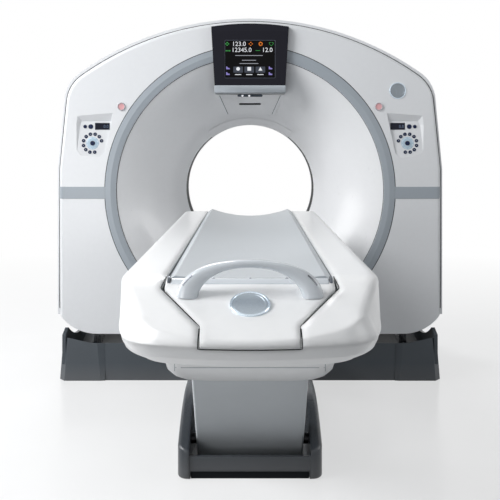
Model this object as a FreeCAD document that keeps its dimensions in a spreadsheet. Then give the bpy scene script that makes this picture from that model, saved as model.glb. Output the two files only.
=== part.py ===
"""Computed tomography scanner: tilting gantry with a spinning rotor, and a patient table on a swing-arm lift.

Millimetres. The origin is on the floor under the centre of the bore, +X to the right seen from the
table's foot, +Y from the table towards the back of the gantry, +Z up.
"""

import FreeCAD
import Part
import math
import os
import Sketcher

from FreeCAD import Placement, Rotation, Vector

doc = FreeCAD.newDocument("ct_scanner")
sheet = doc.addObject("Spreadsheet::Sheet", "sizes")

SIZES = {
    # gantry: the bore and the covers round it
    "iso_height": 970,            # centre of the bore above the floor
    "bore_radius": 350,
    "window_half": 90,            # half the length of the scan window along the bore
    "funnel_bend_radius": 468,    # where the front funnel changes slope
    "funnel_bend_depth": 245,
    "ring_inner": 689,
    "ring_outer": 746,
    "ring_crown": 5,
    "front_depth": 420,           # front cover at the ring, forward of the bore's centre
    "rim_depth": 400,             # and out at the rim
    "rim_reach": 1250,
    "rear_depth": 450,
    "rear_mouth": 540,
    "cover_wall": 8,
    "cover_seam": 372,            # back edge of the front cover, front edge of the rear cover
    "band_front": 390,            # front edge of the side and top covers
    "half_width": 995,
    "skirt_half": 790,
    "toe_radius": 235,
    "shoulder_half": 952.5,
    "shoulder_round": 180,
    "crown_radius": 1530,
    "top_seam_half": 835,         # seam between side and top covers
    "top_reveal": 22,             # top covers seen above the front cover
    "side_reveal": 12,
    "rim_round": 18,
    # display, lamps, stripes and control panels on the front cover
    "display_top_half": 199,
    "display_crown_radius": 1165,
    "display_low_half": 181,
    "display_proud": 35,
    "screen_width": 259,
    "screen_height": 195,
    "lamp_across": 662,
    "lamp_radius": 18,
    "stripe_proud": 1.5,
    "panel_across": 812,
    "panel_depth": 409,
    "panel_lean": 5.4,            # degrees, top further back
    "panel_thick": 10,
    "key_radius": 12,
    "key_ring_radius": 48,
    "small_key_radius": 9,
    "key_gap": 0.3,
    # gantry base and tilt track
    "base_mid_half": 741,
    "base_half": 979,
    "base_draft": 16,
    "base_front": 450,
    "base_mid_front": 440,
    "base_rear": 560,
    "base_mid_rear": 450,
    "base_rise_from": 200,
    "cheek_inner": 945,
    "cheek_radius": 800,
    "cheek_front": -345,
    "saddle_flare_from": 815,     # the saddle narrows outwards from here, as the covers' toes do
    "saddle_end_radius": 857,
    "saddle_radius": 893,
    "track_across": 865,
    "track_web": 40,
    "track_foot": 70,
    "track_foot_inner": 908,
    "track_foot_outer": 932,
    "track_gap": 0.6,
    "track_front": 422,
    "shoe_front": 54,
    "shoe_angle": 32,
    "shoe_inner": 500,
    # tilt frame, bearing and rotor
    "frame_front": 220,
    "frame_thick": 50,
    "frame_inner": 550,
    "frame_outer": 720,
    "beam_inner": 700,
    "beam_top": -300,
    "beam_low": -640,
    "beam_front": 150,
    "rotor_inner": 420,
    "rotor_outer": 670,
    "rotor_front": 115,
    "rotor_thick": 40,
    "sleeve_inner": 505,
    "sleeve_outer": 530,
    "sleeve_rear": 345,
    "race_split": 556,
    "race_outer": 640,
    "race_width": 50,
    "slip_outer": 600,
    "slip_front": 290,
    "slip_width": 40,
    "tube_radius": 85,
    "tube_reach": 570,
    "pulley_across": 600,
    "pulley_drop": 580,
    "pulley_radius": 60,
    "motor_radius": 70,
    "motor_length": 120,
    "belt_thick": 4,
    "running_gap": 0.3,
    # patient table
    "table_top": 870,
    "table_low": 692,
    "table_crease": 752,
    "taper_height": 790,          # the underside rises to this at the gantry's end
    "taper_length": 250,
    "table_half": 335,
    "table_far": -500,
    "table_nose": -3056,
    "nose_crown": 29,             # how far the rounded front stands before its corners
    "slope_knee_height": 849,
    "slope_knee_radius": 260,
    "slope_end_height": 768,
    "nose_lip_radius": 32,
    "under_nose": 72,             # the underside lies this far back of the nose
    "under_side": 8,
    "top_nose": 84,               # the upper edge, were it not cut by the slope
    "shell_wall": 8,
    "edge_round": 22,
    "channel_half": 212,
    "cut_half": 219,              # widest place of the cut-out for the end block
    "cut_narrow_half": 117,
    "cut_front_half": 111,
    "skirt_bottom": 748,
    "seam_gap": 1.5,
    "deck_floor": 736,
    "deck_thick": 6,
    "cradle_half": 210.5,
    "cradle_under": 818,
    "cradle_lip_half": 190,
    "cradle_far_lip": 882,
    "cradle_far_sag": 34,
    "cradle_near_lip": 872,
    "cradle_near_sag": 11,
    "rail_top": 780,
    "rail_inner": 118,
    "rail_width": 32,
    "handle_half": 180,
    "handle_foot": 45,
    "handle_crown": 924,
    "handle_rise": 76,
    "handle_depth": 34,
    "handle_thick": 17,
    "pan_half": 222,
    "pan_low": 600,
    "pan_rear": -760,
    "pan_wall": 6,
    "pan_corner": 45,
    # swing-arm lift
    "lift_angle": 48,             # degrees above the floor, as it stands here
    "leg_length": 767,
    "leg_foot": -1660,
    "leg_pivot_height": 100,
    "leg_spacing": 600,
    "leg_half_thick": 28,
    "leg_half_width": 175,
    "leg_arm": 55,
    "shaft_radius": 20,
    "pivot_gap": 0.05,
    "open_pivot_gap": 0.5,
    "panel_half_width": 199,
    "panel_sheet": 12,
    "panel_round": 9,
    "panel_tail": 77,
    "panel_reach": 590,
    "web_half": 200,
    "web_thick": 10,
    "web_low": 636,
    "tub_front": -1816,
    "tub_half": 262,
    "tub_wall": 43,
    "tub_bar_height": 82,
    "tub_bar_back": 58,           # the bar steps down behind its front lip
    "tub_bar_set_back": 9,
    "tub_bar_lip": 15,
    "tub_wall_front": 106,
    "tub_corner": 38,
    "tub_round": 12,
    "tub_toe_half": 215,          # a low recess under the front bar
    "tub_toe_height": 27,
    "tub_toe_depth": 30,
    "tub_wall_height": 225,
    "tub_sweep_radius": 861,
    "tub_sweep_length": 500,
    "tub_floor": 10,
    "anchor_radius": 9,
}

# places that go along with another size: how far above the bore's centre, and how far behind the table's nose
PLACES = {
    "iso_height": {
        "skirt_height": -739,     # underside of the front cover
        "rear_skirt_height": -690,
        "flank_height": -640,
        "lean_height": 110,       # the sides lean in above this
        "shoulder_height": 557,
        "display_top": 842,
        "display_low": 540,
        "display_chin": 502,
        "screen_middle": 674,
        "lamp_height": 433,
        "stripe_low": -41.5,
        "stripe_high": 20,
        "panel_height": 244.5,
        "base_end_height": -738,
        "base_rear_height": -655,
        "cheek_height": -712,
        "base_mid_height": -780,
    },
    "table_nose": {
        "nose_start": 376,        # the sides begin to curve in here
        "slope_start": 321,
        "slope_knee": 226,
        "slope_end": 22,
        "cut_wide_at": 226,
        "cut_narrow_at": 71,
        "cradle_near": 281,
        "handle_at": 196,
        "pan_front": 296,
    },
}


class Size:
    """A size with its value and the sheet formula that it follows, so that both are written once."""

    def __init__(self, value, formula):
        self.value = float(value)
        self.formula = formula

    @staticmethod
    def of(number):
        return number if isinstance(number, Size) else Size(number, f"({float(number)!r})")

    def _with(self, other, sign, value):
        return Size(value, f"({self.formula} {sign} {other.formula})")

    def __add__(self, other):
        other = Size.of(other)
        return self._with(other, "+", self.value + other.value)

    def __sub__(self, other):
        other = Size.of(other)
        return self._with(other, "-", self.value - other.value)

    def __mul__(self, other):
        other = Size.of(other)
        return self._with(other, "*", self.value * other.value)

    def __truediv__(self, other):
        other = Size.of(other)
        return self._with(other, "/", self.value / other.value)

    def __radd__(self, other):
        return Size.of(other) + self

    def __rsub__(self, other):
        return Size.of(other) - self

    def __rmul__(self, other):
        return Size.of(other) * self

    def __neg__(self):
        return Size.of(0) - self


def sine(angle):
    return Size(math.sin(math.radians(angle.value)), f"sin({angle.formula} * 1 deg)")


def cosine(angle):
    return Size(math.cos(math.radians(angle.value)), f"cos({angle.formula} * 1 deg)")


def root(size):
    return Size(math.sqrt(size.value), f"sqrt({size.formula})")


class Sheet:
    """The sizes in the document's sheet, read as attributes."""

    def __init__(self, sizes, places):
        self.rows = 0
        for alias, number in sizes.items():
            setattr(self, alias, self.written(alias, number))
        for origin, distances in places.items():
            for alias, distance in distances.items():
                setattr(self, alias, getattr(self, origin) + self.written(alias, distance))
        doc.recompute()

    def written(self, alias, number):
        self.rows += 1
        sheet.set(f"A{self.rows}", alias.replace("_", " "))
        sheet.set(f"B{self.rows}", str(number))
        sheet.setAlias(f"B{self.rows}", alias)
        return Size(number, f"sizes.{alias}")


d = Sheet(SIZES, PLACES)
kept = {}


def bind(item, path, size):
    item.setExpression(path, Size.of(size).formula)


def keep(label, item):
    """Marks an object as one of the finished pieces."""
    item.Label = label
    kept[label] = item
    return item


def place(item, across, along, up):
    for axis, size in zip("xyz", (across, along, up)):
        bind(item, f"Placement.Base.{axis}", size)


def box(name, low, high):
    item = doc.addObject("Part::Box", name)
    for side, start, end in zip(("Length", "Width", "Height"), low, high):
        bind(item, side, Size.of(end) - start)
    place(item, *low)
    return item


def rod(name, axis, radius, start, length):
    """A cylinder along X, Y or Z from its start point."""
    item = doc.addObject("Part::Cylinder", name)
    directions = {"X": Vector(1, 0, 0), "Y": Vector(0, 1, 0), "Z": Vector(0, 0, 1)}
    item.Placement = Placement(Vector(), Rotation(Vector(0, 0, 1), directions[axis]))
    bind(item, "Radius", radius)
    bind(item, "Height", length)
    place(item, *start)
    return item


def joined(name, *pieces):
    item = doc.addObject("Part::MultiFuse", name)
    item.Shapes = list(pieces)
    return item


def shared(name, *pieces):
    item = doc.addObject("Part::MultiCommon", name)
    item.Shapes = list(pieces)
    return item


def less(name, base, *tools):
    item = doc.addObject("Part::Cut", name)
    item.Base = base
    item.Tool = tools[0] if len(tools) == 1 else joined(f"{name}_tools", *tools)
    return item


def mirrored(name, piece):
    """The same piece on the other side of the scanner."""
    item = doc.addObject("Part::Mirroring", name)
    item.Source = piece
    item.Normal = Vector(1, 0, 0)
    return item


def new_body(name):
    return doc.addObject("PartDesign::Body", name)


def arc_between(start, end, radius):
    """The arc from start to end; a positive radius turns left on the way, a negative one right."""
    chord = end - start
    half = chord.Length / 2
    left = Vector(-chord.y, chord.x, 0).normalize()
    rise = math.sqrt(max(radius * radius - half * half, 0))
    centre = (start + end) / 2 + left * (rise if radius > 0 else -rise)
    first, last = (start, end) if radius > 0 else (end, start)
    angles = [math.atan2(p.y - centre.y, p.x - centre.x) for p in (first, last)]
    if angles[1] < angles[0]:
        angles[1] += 2 * math.pi
    circle = Part.Circle(centre, Vector(0, 0, 1), abs(radius))
    return Part.ArcOfCircle(circle, *angles)


def hold_arc(item, index, start, end):
    """Fixes an arc by its radius, or a half circle, whose radius says nothing new, by its centre."""
    chord = Vector(end[0].value - start[0].value, end[1].value - start[1].value, 0)
    radius = start[2] if start[2].value > 0 else -start[2]
    if radius.value - chord.Length / 2 > 0.01:
        number = item.addConstraint(Sketcher.Constraint("Radius", index, radius.value))
        bind(item, f"Constraints[{number}]", radius)
        return
    kind, axis = ("DistanceY", 1) if abs(chord.x) > abs(chord.y) else ("DistanceX", 0)
    middle = (start[axis] + end[axis]) / 2
    number = item.addConstraint(Sketcher.Constraint(kind, -1, 1, index, 3, middle.value))
    bind(item, f"Constraints[{number}]", middle)


def sketch(body, plane, corners, offset=0, lift=0):
    """A closed outline on one of the body's planes, offset along the plane's normal, lifted along its up axis.

    A corner is (across, up), or (across, up, radius) where the edge that leaves it is an arc."""
    item = body.newObject("Sketcher::SketchObject", f"{body.Name}_outline")
    support = [f for f in body.Origin.OriginFeatures if f.Role == f"{plane}_Plane"][0]
    item.AttachmentSupport = [(support, "")]
    item.MapMode = "FlatFace"
    bind(item, "AttachmentOffset.Base.z", offset)
    bind(item, "AttachmentOffset.Base.y", lift)
    sized = [tuple(Size.of(number) for number in corner) for corner in corners]
    points = [Vector(corner[0].value, corner[1].value, 0) for corner in sized]
    ends = []
    for index, corner in enumerate(sized):
        start, end = points[index], points[(index + 1) % len(points)]
        if len(corner) == 2:
            item.addGeometry(Part.LineSegment(start, end), False)
            ends.append((1, 2))
        else:
            item.addGeometry(arc_between(start, end, corner[2].value), False)
            ends.append((1, 2) if corner[2].value > 0 else (2, 1))
    for index, corner in enumerate(sized):
        following = (index + 1) % len(sized)
        item.addConstraint(
            Sketcher.Constraint("Coincident", index, ends[index][1], following, ends[following][0])
        )
        for kind, size in zip(("DistanceX", "DistanceY"), corner):
            number = item.addConstraint(
                Sketcher.Constraint(kind, -1, 1, index, ends[index][0], size.value)
            )
            bind(item, f"Constraints[{number}]", size)
        if len(corner) == 3:
            hold_arc(item, index, corner, sized[following])
    return item


def pad(body, profile, length, middle=False, backwards=False):
    item = body.newObject("PartDesign::Pad", f"{body.Name}_pad")
    item.Profile = profile
    item.SideType = "Symmetric" if middle else "One side"
    item.Reversed = backwards
    bind(item, "Length", length)
    return item


def pocket(body, profile, length, middle=False, backwards=False):
    item = body.newObject("PartDesign::Pocket", f"{body.Name}_pocket")
    item.Profile = profile
    item.SideType = "Symmetric" if middle else "One side"
    item.Reversed = backwards
    bind(item, "Length", length)
    return item


def spin(body, profile, kind="Revolution", angle=360):
    """Revolves a profile about its own horizontal axis, half of the angle to each side."""
    item = body.newObject(f"PartDesign::{kind}", f"{body.Name}_turn")
    item.Profile = profile
    item.ReferenceAxis = (profile, ["H_Axis"])
    item.Midplane = True
    bind(item, "Angle", angle)
    return item


def slab(name, plane, corners, length, offset=0, middle=False, backwards=False):
    """A body padded from one outline."""
    body = new_body(name)
    pad(body, sketch(body, plane, corners, offset), length, middle, backwards)
    return body


def ring(name, corners, angle=360):
    """A body turned about the bore's axis from (along the bore, radius) corners."""
    body = new_body(name)
    spin(body, sketch(body, "YZ", corners, lift=d.iso_height), angle=angle)
    return body


def blend(name, plane, sections):
    """A ruled loft through (offset, corners) sections."""
    body = new_body(name)
    outlines = [sketch(body, plane, corners, offset) for offset, corners in sections]
    loft = body.newObject("PartDesign::AdditiveLoft", f"{name}_loft")
    loft.Profile = outlines[0]
    loft.Sections = outlines[1:]
    loft.Ruled = True
    return body


def both_sides(half):
    """Completes the outline of which the corners with positive X, from the bottom to the top, are given."""
    other = []
    for index in range(len(half) - 1, -1, -1):
        across, up = half[index][:2]
        arc = half[index - 1][2:] if index else ()
        other.append((-Size.of(across), up, *arc))
    return half + other


# ---------------------------------------------------------------- gantry covers


def gantry_outline(side_inset, top_inset, skirt):
    """The gantry's front outline, drawn in at the sides and at the top."""
    lean = top_inset / 2
    return both_sides([
        (d.skirt_half, skirt, d.toe_radius),
        (d.half_width - side_inset, skirt + (d.flank_height - d.skirt_height)),
        (d.half_width - side_inset, d.lean_height),
        (d.shoulder_half - side_inset, d.shoulder_height - lean - side_inset / 4,
         d.crown_radius - top_inset),
    ])


def open_outline(side_inset, top_inset):
    """The same outline, open to below the skirt."""
    lean = top_inset / 2
    bottom = d.skirt_height - 60
    return both_sides([
        (d.half_width - side_inset, bottom),
        (d.half_width - side_inset, d.lean_height),
        (d.shoulder_half - side_inset, d.shoulder_height - lean - side_inset / 4,
         d.crown_radius - top_inset),
    ])


def round_edges(body, radius, wanted):
    """Fillets the edges of the body that a test picks."""
    doc.recompute()
    base = body.Tip
    names = [f"Edge{n}" for n, edge in enumerate(base.Shape.Edges, start=1) if wanted(edge)]
    item = body.newObject("PartDesign::Fillet", f"{body.Name}_round")
    item.Base = (base, names)
    bind(item, "Radius", radius)
    return item


def is_shoulder(edge):
    """True for the edge along Y at a shoulder of the gantry."""
    span = edge.BoundBox
    high = abs(span.ZMax - d.shoulder_height.value) < 60
    return high and span.YLength > 1 and span.XLength < 1 and span.ZLength < 1


def cover_form(name, outline, front, rim, inset=0, start=None):
    """A dished cover's solid form: the outline, domed over from the ring out to the rim."""
    facing = 1 if front else -1
    begin = d.cover_seam if start is None else start
    body = new_body(name)
    depth = d.front_depth if front else d.rear_depth
    reach = depth + 40
    profile = sketch(body, "XZ", outline, offset=begin * facing)
    pad(body, profile, reach - begin, backwards=not front)
    round_edges(body, d.shoulder_round, is_shoulder)
    face, edge = depth - inset, rim - inset
    dish = [(reach + 20, 0), (face, 0), (face, d.ring_outer), (edge, d.rim_reach),
            (reach + 20, d.rim_reach)]
    corners = [(Size.of(along) * -facing, up) for along, up in dish]
    spin(body, sketch(body, "YZ", corners, lift=d.iso_height), "Groove")
    if not inset:
        soften_rim(body)
    return body


def soften_rim(body):
    """Rounds the edges where a cover's dished face meets its sides, above the toes."""
    doc.recompute()
    base = body.Tip
    seam = d.cover_seam.value + 15
    names = []
    for number, edge in enumerate(base.Shape.Edges, start=1):
        span = edge.BoundBox
        raised = min(abs(span.YMin), abs(span.YMax)) > seam
        above = span.ZMin > d.flank_height.value - 1
        if raised and above and edge.Length > 50 and not isinstance(edge.Curve, Part.Circle):
            names.append(f"Edge{number}")
    item = body.newObject("PartDesign::Fillet", f"{body.Name}_soft")
    item.Base = (base, names)
    bind(item, "Radius", d.rim_round)


def funnel_band(name, inner, outer):
    """The space between two offsets from the front funnel's surface, turned about the bore."""
    def line(offset):
        return [
            (-d.front_depth + offset, d.ring_inner + offset * 0.6),
            (-d.funnel_bend_depth + offset * 0.7, d.funnel_bend_radius + offset * 0.7),
            (-d.window_half, d.bore_radius + offset * 1.2),
        ]
    near, far = line(inner), line(outer)
    arcs = [near[0] + (900,), near[1] + (700,), near[2]]
    back = [far[2] + (-700,), far[1] + (-900,), far[0]]
    return ring(name, arcs + back)


def display_block(name, grow=0):
    """The tapered prism that the display housing fills, from behind the cover to in front of it."""
    outline = both_sides([
        (d.display_low_half + grow, d.display_chin - grow),
        (d.display_low_half + grow, d.display_low),
        (d.display_top_half + grow, d.display_top + grow, d.display_crown_radius),
    ])
    depth = d.front_depth + 60
    return slab(name, "XZ", outline, depth - d.funnel_bend_depth, offset=d.funnel_bend_depth)


def panel_outline(up=0, out=0, down=0, inside=0):
    """The left control plate's outline about the centre of its key ring, grown as asked."""
    return [
        (-59 - out, -61 - down),
        (37 + inside / 2, -73 - down),
        (62 + inside, -54),
        (102 + inside, 114 + up),
        (-55 - out, 114 + up),
        (-66 - out, 94),
        (-79 - out, -35),
    ]


def set_on_panel(item):
    """Moves a piece drawn about the key ring to its place on the left of the front cover."""
    item.Placement = Placement(Vector(), Rotation(Vector(1, 0, 0), 0))
    bind(item, "Placement.Rotation.Angle", -d.panel_lean)
    place(item, -d.panel_across, -d.panel_depth, d.panel_height)
    return item


def panel_recess():
    """The space cut in the cover for a control plate: the plate's seat and the slopes above and beside it."""
    return set_on_panel(blend("panel_recess", "XZ", [
        (-d.panel_thick, panel_outline()), (0, panel_outline()),
        (30, panel_outline(up=52, out=44, down=2, inside=6)),
    ]))


def panel_pan():
    """The back of the recess, one wall behind the plate's seat."""
    pan = blend("panel_pan", "XZ", [
        (-d.panel_thick - d.cover_wall, panel_outline(8, 8, 8, 8)),
        (30, panel_outline(60, 52, 10, 14)),
    ])
    return set_on_panel(pan)


def front_cover(display):
    form = cover_form("front_form", gantry_outline(d.side_reveal, d.top_reveal, d.skirt_height),
                      True, d.rim_depth)
    hollow = cover_form("front_hollow",
                        open_outline(d.side_reveal + d.cover_wall, d.top_reveal + d.cover_wall),
                        True, d.rim_depth, inset=d.cover_wall, start=d.cover_seam - 10)
    shell = less("front_shell", form, hollow)
    pan = panel_pan()
    pans = shared("front_pans", form, joined("panel_pans", pan, mirrored("panel_pan_right", pan)))
    recess = panel_recess()
    hole = rod("ring_hole", "Y", d.ring_outer, (0, -d.front_depth - 30, d.iso_height), 90)
    lamps = [
        rod(f"lamp_hole_{side}", "Y", d.lamp_radius, (across, -d.front_depth - 20, d.lamp_height), 60)
        for side, across in (("left", -d.lamp_across), ("right", d.lamp_across))
    ]
    cover = less("front_cover", joined("front_blank", shell, pans), hole, display, recess,
                 mirrored("panel_recess_right", recess), *lamps)
    keep("front_cover", cover)


def rear_cover():
    form = cover_form("rear_form",
                      gantry_outline(d.side_reveal, d.top_reveal, d.rear_skirt_height),
                      False, d.rim_depth)
    hollow = cover_form("rear_hollow",
                        open_outline(d.side_reveal + d.cover_wall, d.top_reveal + d.cover_wall),
                        False, d.rim_depth, inset=d.cover_wall, start=d.cover_seam - 10)
    hole = rod("rear_hole", "Y", d.rear_mouth, (0, d.rear_depth - 60, d.iso_height), 90)
    keep("rear_cover", less("rear_cover", form, hollow, hole))


def band_prism(name, outline, front, rear):
    """The gantry's outline as a prism along the bore, with rounded shoulders."""
    body = new_body(name)
    pad(body, sketch(body, "XZ", outline, offset=-Size.of(rear)), Size.of(front) + rear)
    round_edges(body, d.shoulder_round, is_shoulder)
    return body


def side_and_top_covers():
    """The skin round the gantry, between the front and rear covers, in four pieces."""
    front = d.band_front
    outer = band_prism("band_form", gantry_outline(0, 0, d.skirt_height), front, front)
    inner = band_prism("band_hollow", open_outline(d.cover_wall, d.cover_wall),
                       d.cover_seam, d.cover_seam)
    window = band_prism("band_window", open_outline(d.side_reveal, d.top_reveal),
                        front + 10, front + 10)
    below = box("band_below", (-d.half_width, -500, 0), (d.half_width, 500, d.flank_height))
    band = less("band", outer, inner, window, below)
    high = d.iso_height + d.ring_outer + 200
    for side, low_x, high_x in (("left", -1100, 0), ("right", 0, 1100)):
        seam = -d.top_seam_half if side == "left" else d.top_seam_half
        top_x = (seam, 0) if side == "left" else (0, seam)
        side_x = (low_x, seam) if side == "left" else (seam, high_x)
        top = box(f"top_region_{side}", (top_x[0], -500, d.iso_height), (top_x[1], 500, high))
        flank = box(f"side_region_{side}", (side_x[0], -500, 0), (side_x[1], 500, high))
        keep(f"top_cover_{side}", shared(f"top_cover_{side}", band, top))
        keep(f"side_cover_{side}", shared(f"side_cover_{side}", band, flank))
    return band_prism("bracket_space", open_outline(d.cover_wall, d.cover_wall), front, front)


def bore_covers(display):
    """The grey ring, the funnels and the dark scan window between them."""
    crown = d.front_depth + d.ring_crown
    step = d.front_depth - 20
    middle = (d.ring_inner + d.ring_outer) / 2
    trim = ring("ring_blank", [
        (-step, d.ring_inner), (-step, d.ring_outer), (-d.front_depth - 1, d.ring_outer),
        (-crown, middle), (-d.front_depth - 1, d.ring_inner),
    ])
    keep("ring_trim", less("ring_trim", trim, display))
    shell = funnel_band("funnel_blank", Size.of(0), d.cover_wall)
    rim = rod("funnel_rim", "Y", d.ring_inner + 40, (0, -d.front_depth - 30, d.iso_height), 50)
    keep("front_funnel", less("front_funnel", shell, less(
        "funnel_trim_space", rim,
        rod("funnel_inside", "Y", d.ring_inner, (0, -d.front_depth - 40, d.iso_height), 70))))
    window_radius = d.bore_radius + 2
    keep("scan_window", ring("scan_window", [
        (-d.window_half, window_radius), (d.window_half, window_radius),
        (d.window_half, window_radius + 7), (-d.window_half, window_radius + 7),
    ]))
    wall = d.cover_wall
    keep("rear_funnel", ring("rear_funnel", [
        (d.window_half, d.bore_radius, 900), (d.rear_depth, d.rear_mouth - wall),
        (d.rear_depth, d.rear_mouth), (d.rear_depth - wall, d.rear_mouth, -900),
        (d.window_half, d.bore_radius + wall),
    ]))


def display_pieces(display):
    """The dark display housing over the ring, its screen, and the trim and lens below it."""
    top = d.display_top + 30
    front = d.front_depth + d.display_proud
    side = [
        (-front, d.display_low), (-front + 14, d.display_chin), (-d.funnel_bend_depth, d.display_chin),
        (-d.funnel_bend_depth, d.iso_height + d.ring_inner),
        (-d.front_depth + 22, d.iso_height + d.ring_inner + 20), (-d.front_depth + 22, top),
        (-front + 30, top), (-front + 5, d.display_top - 24),
    ]
    profile = slab("housing_side", "YZ", side, d.display_top_half * 2, middle=True)
    behind = funnel_band("behind_funnel", Size.of(0), Size.of(150))
    half_screen = d.screen_width / 2
    low = d.screen_middle - d.screen_height / 2
    high = d.screen_middle + d.screen_height / 2
    recess = box("screen_recess", (-half_screen, -front - 20, low), (half_screen, -front + 8, high))
    keep("display_housing", less("display_housing", shared("housing_blank", display, profile),
                                 behind, recess))
    keep("display_screen", box("display_screen", (-half_screen, -front + 5, low),
                               (half_screen, -front + 8, high)))
    layer = funnel_band("trim_layer", Size.of(-4), Size.of(0))
    trim = slab("trim_outline", "XZ", both_sides([
        (135, d.iso_height + 398), (d.display_low_half - 1, d.display_chin),
    ]), 400)
    keep("funnel_trim", shared("funnel_trim", layer, trim))
    lens_layer = funnel_band("lens_layer", Size.of(-3), Size.of(0))
    reach = d.bore_radius + 34
    crescent = slab("lens_outline", "XZ", [
        (0, d.iso_height), (reach * 0.6, d.iso_height + reach * 0.8, reach),
        (-reach * 0.6, d.iso_height + reach * 0.8),
    ], 400)
    keep("throat_lens", shared("throat_lens", lens_layer, crescent))


def stripes_and_lamps():
    """The two stripes inlaid in the front cover beside the ring, and the two exposure lamps."""
    proud = d.stripe_proud
    skin = ring("stripe_skin", [
        (-d.front_depth - proud, d.ring_outer), (-d.rim_depth - proud, d.rim_reach),
        (-d.rim_depth, d.rim_reach), (-d.front_depth, d.ring_outer),
    ])
    depth = d.front_depth + 30
    reach = d.half_width - d.side_reveal - d.rim_round - 2
    stripe = shared("stripe_right", skin, box(
        "stripe_space", (0, -depth, d.stripe_low), (reach, 0, d.stripe_high)))
    keep("belt_stripes", joined("belt_stripes", stripe, mirrored("stripe_left", stripe)))
    lamps = [
        rod(f"lamp_{side}", "Y", d.lamp_radius, (across, -d.front_depth - 2, d.lamp_height), 16)
        for side, across in (("left", -d.lamp_across), ("right", d.lamp_across))
    ]
    keep("exposure_lamps", joined("exposure_lamps", *lamps))


BUTTONS = {"centre": (0, 0, 1.0), "round": (-10.5, 86, 1.0), "small": (-39.5, 86, 0.76)}


def control_panels():
    """The two control plates with their push buttons, rings of flat keys and small displays."""
    plate = slab("plate_blank", "XZ", panel_outline(), d.panel_thick, offset=-d.panel_thick)
    holes, buttons = [], {}
    for name, (across, up, share) in BUTTONS.items():
        radius = d.key_radius * share
        holes.append(rod(f"{name}_hole", "Y", radius + d.key_gap, (across, -5, up), 20))
        holes.append(rod(f"{name}_counterbore", "Y", radius + 2.5, (across, 3.7, up), 20))
        cap = rod(f"{name}_cap", "Y", radius, (across, -2.5, up), 8)
        flange = rod(f"{name}_flange", "Y", radius + 2, (across, 4, up), 2)
        buttons[name] = set_on_panel(joined(f"{name}_button", cap, flange))
    left = set_on_panel(less("plate_left", plate, *holes))
    keep("control_plate_left", left)
    keep("control_plate_right", mirrored("plate_right", left))
    for name, cap in buttons.items():
        keep(f"{name}_button_left", cap)
        keep(f"{name}_button_right", mirrored(f"{name}_button_mirror", cap))
    keys = [
        Part.makeCylinder(
            d.small_key_radius.value, 2,
            Vector(0, -2, 0) + Rotation(Vector(0, -1, 0), 14.6 + 30 * n).multVec(
                Vector(d.key_ring_radius.value, 0, 0)),
            Vector(0, 1, 0))
        for n in range(10)
    ]
    ring_of_keys = doc.addObject("Part::Feature", "keys_left")
    ring_of_keys.Shape = Part.makeCompound(keys)
    set_on_panel(ring_of_keys)
    keep("ring_keys", joined("ring_keys", ring_of_keys, mirrored("keys_right", ring_of_keys)))
    small = set_on_panel(slab("small_display", "XZ", [
        (12, 70), (87, 70), (87, 105), (12, 105)], 1.5))
    keep("panel_displays", joined("panel_displays", small, mirrored("small_display_right", small)))


# ---------------------------------------------------------------- gantry base, tilt track, rotor


def track_profile(name, gap, angle, inner):
    """A T-shaped rail turned about the tilt axis, which crosses the bore's centre along X."""
    web = d.track_web / 2 + gap
    foot = d.track_foot / 2 + gap
    x = d.track_across
    corners = [
        (x - foot, -d.track_foot_outer - gap), (x + foot, -d.track_foot_outer - gap),
        (x + foot, -d.track_foot_inner + gap), (x + web, -d.track_foot_inner + gap),
        (x + web, -Size.of(inner)), (x - web, -Size.of(inner)),
        (x - web, -d.track_foot_inner + gap), (x - foot, -d.track_foot_inner + gap),
    ]
    body = new_body(name)
    spin(body, sketch(body, "XZ", corners, lift=d.iso_height), angle=angle)
    return body


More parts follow.
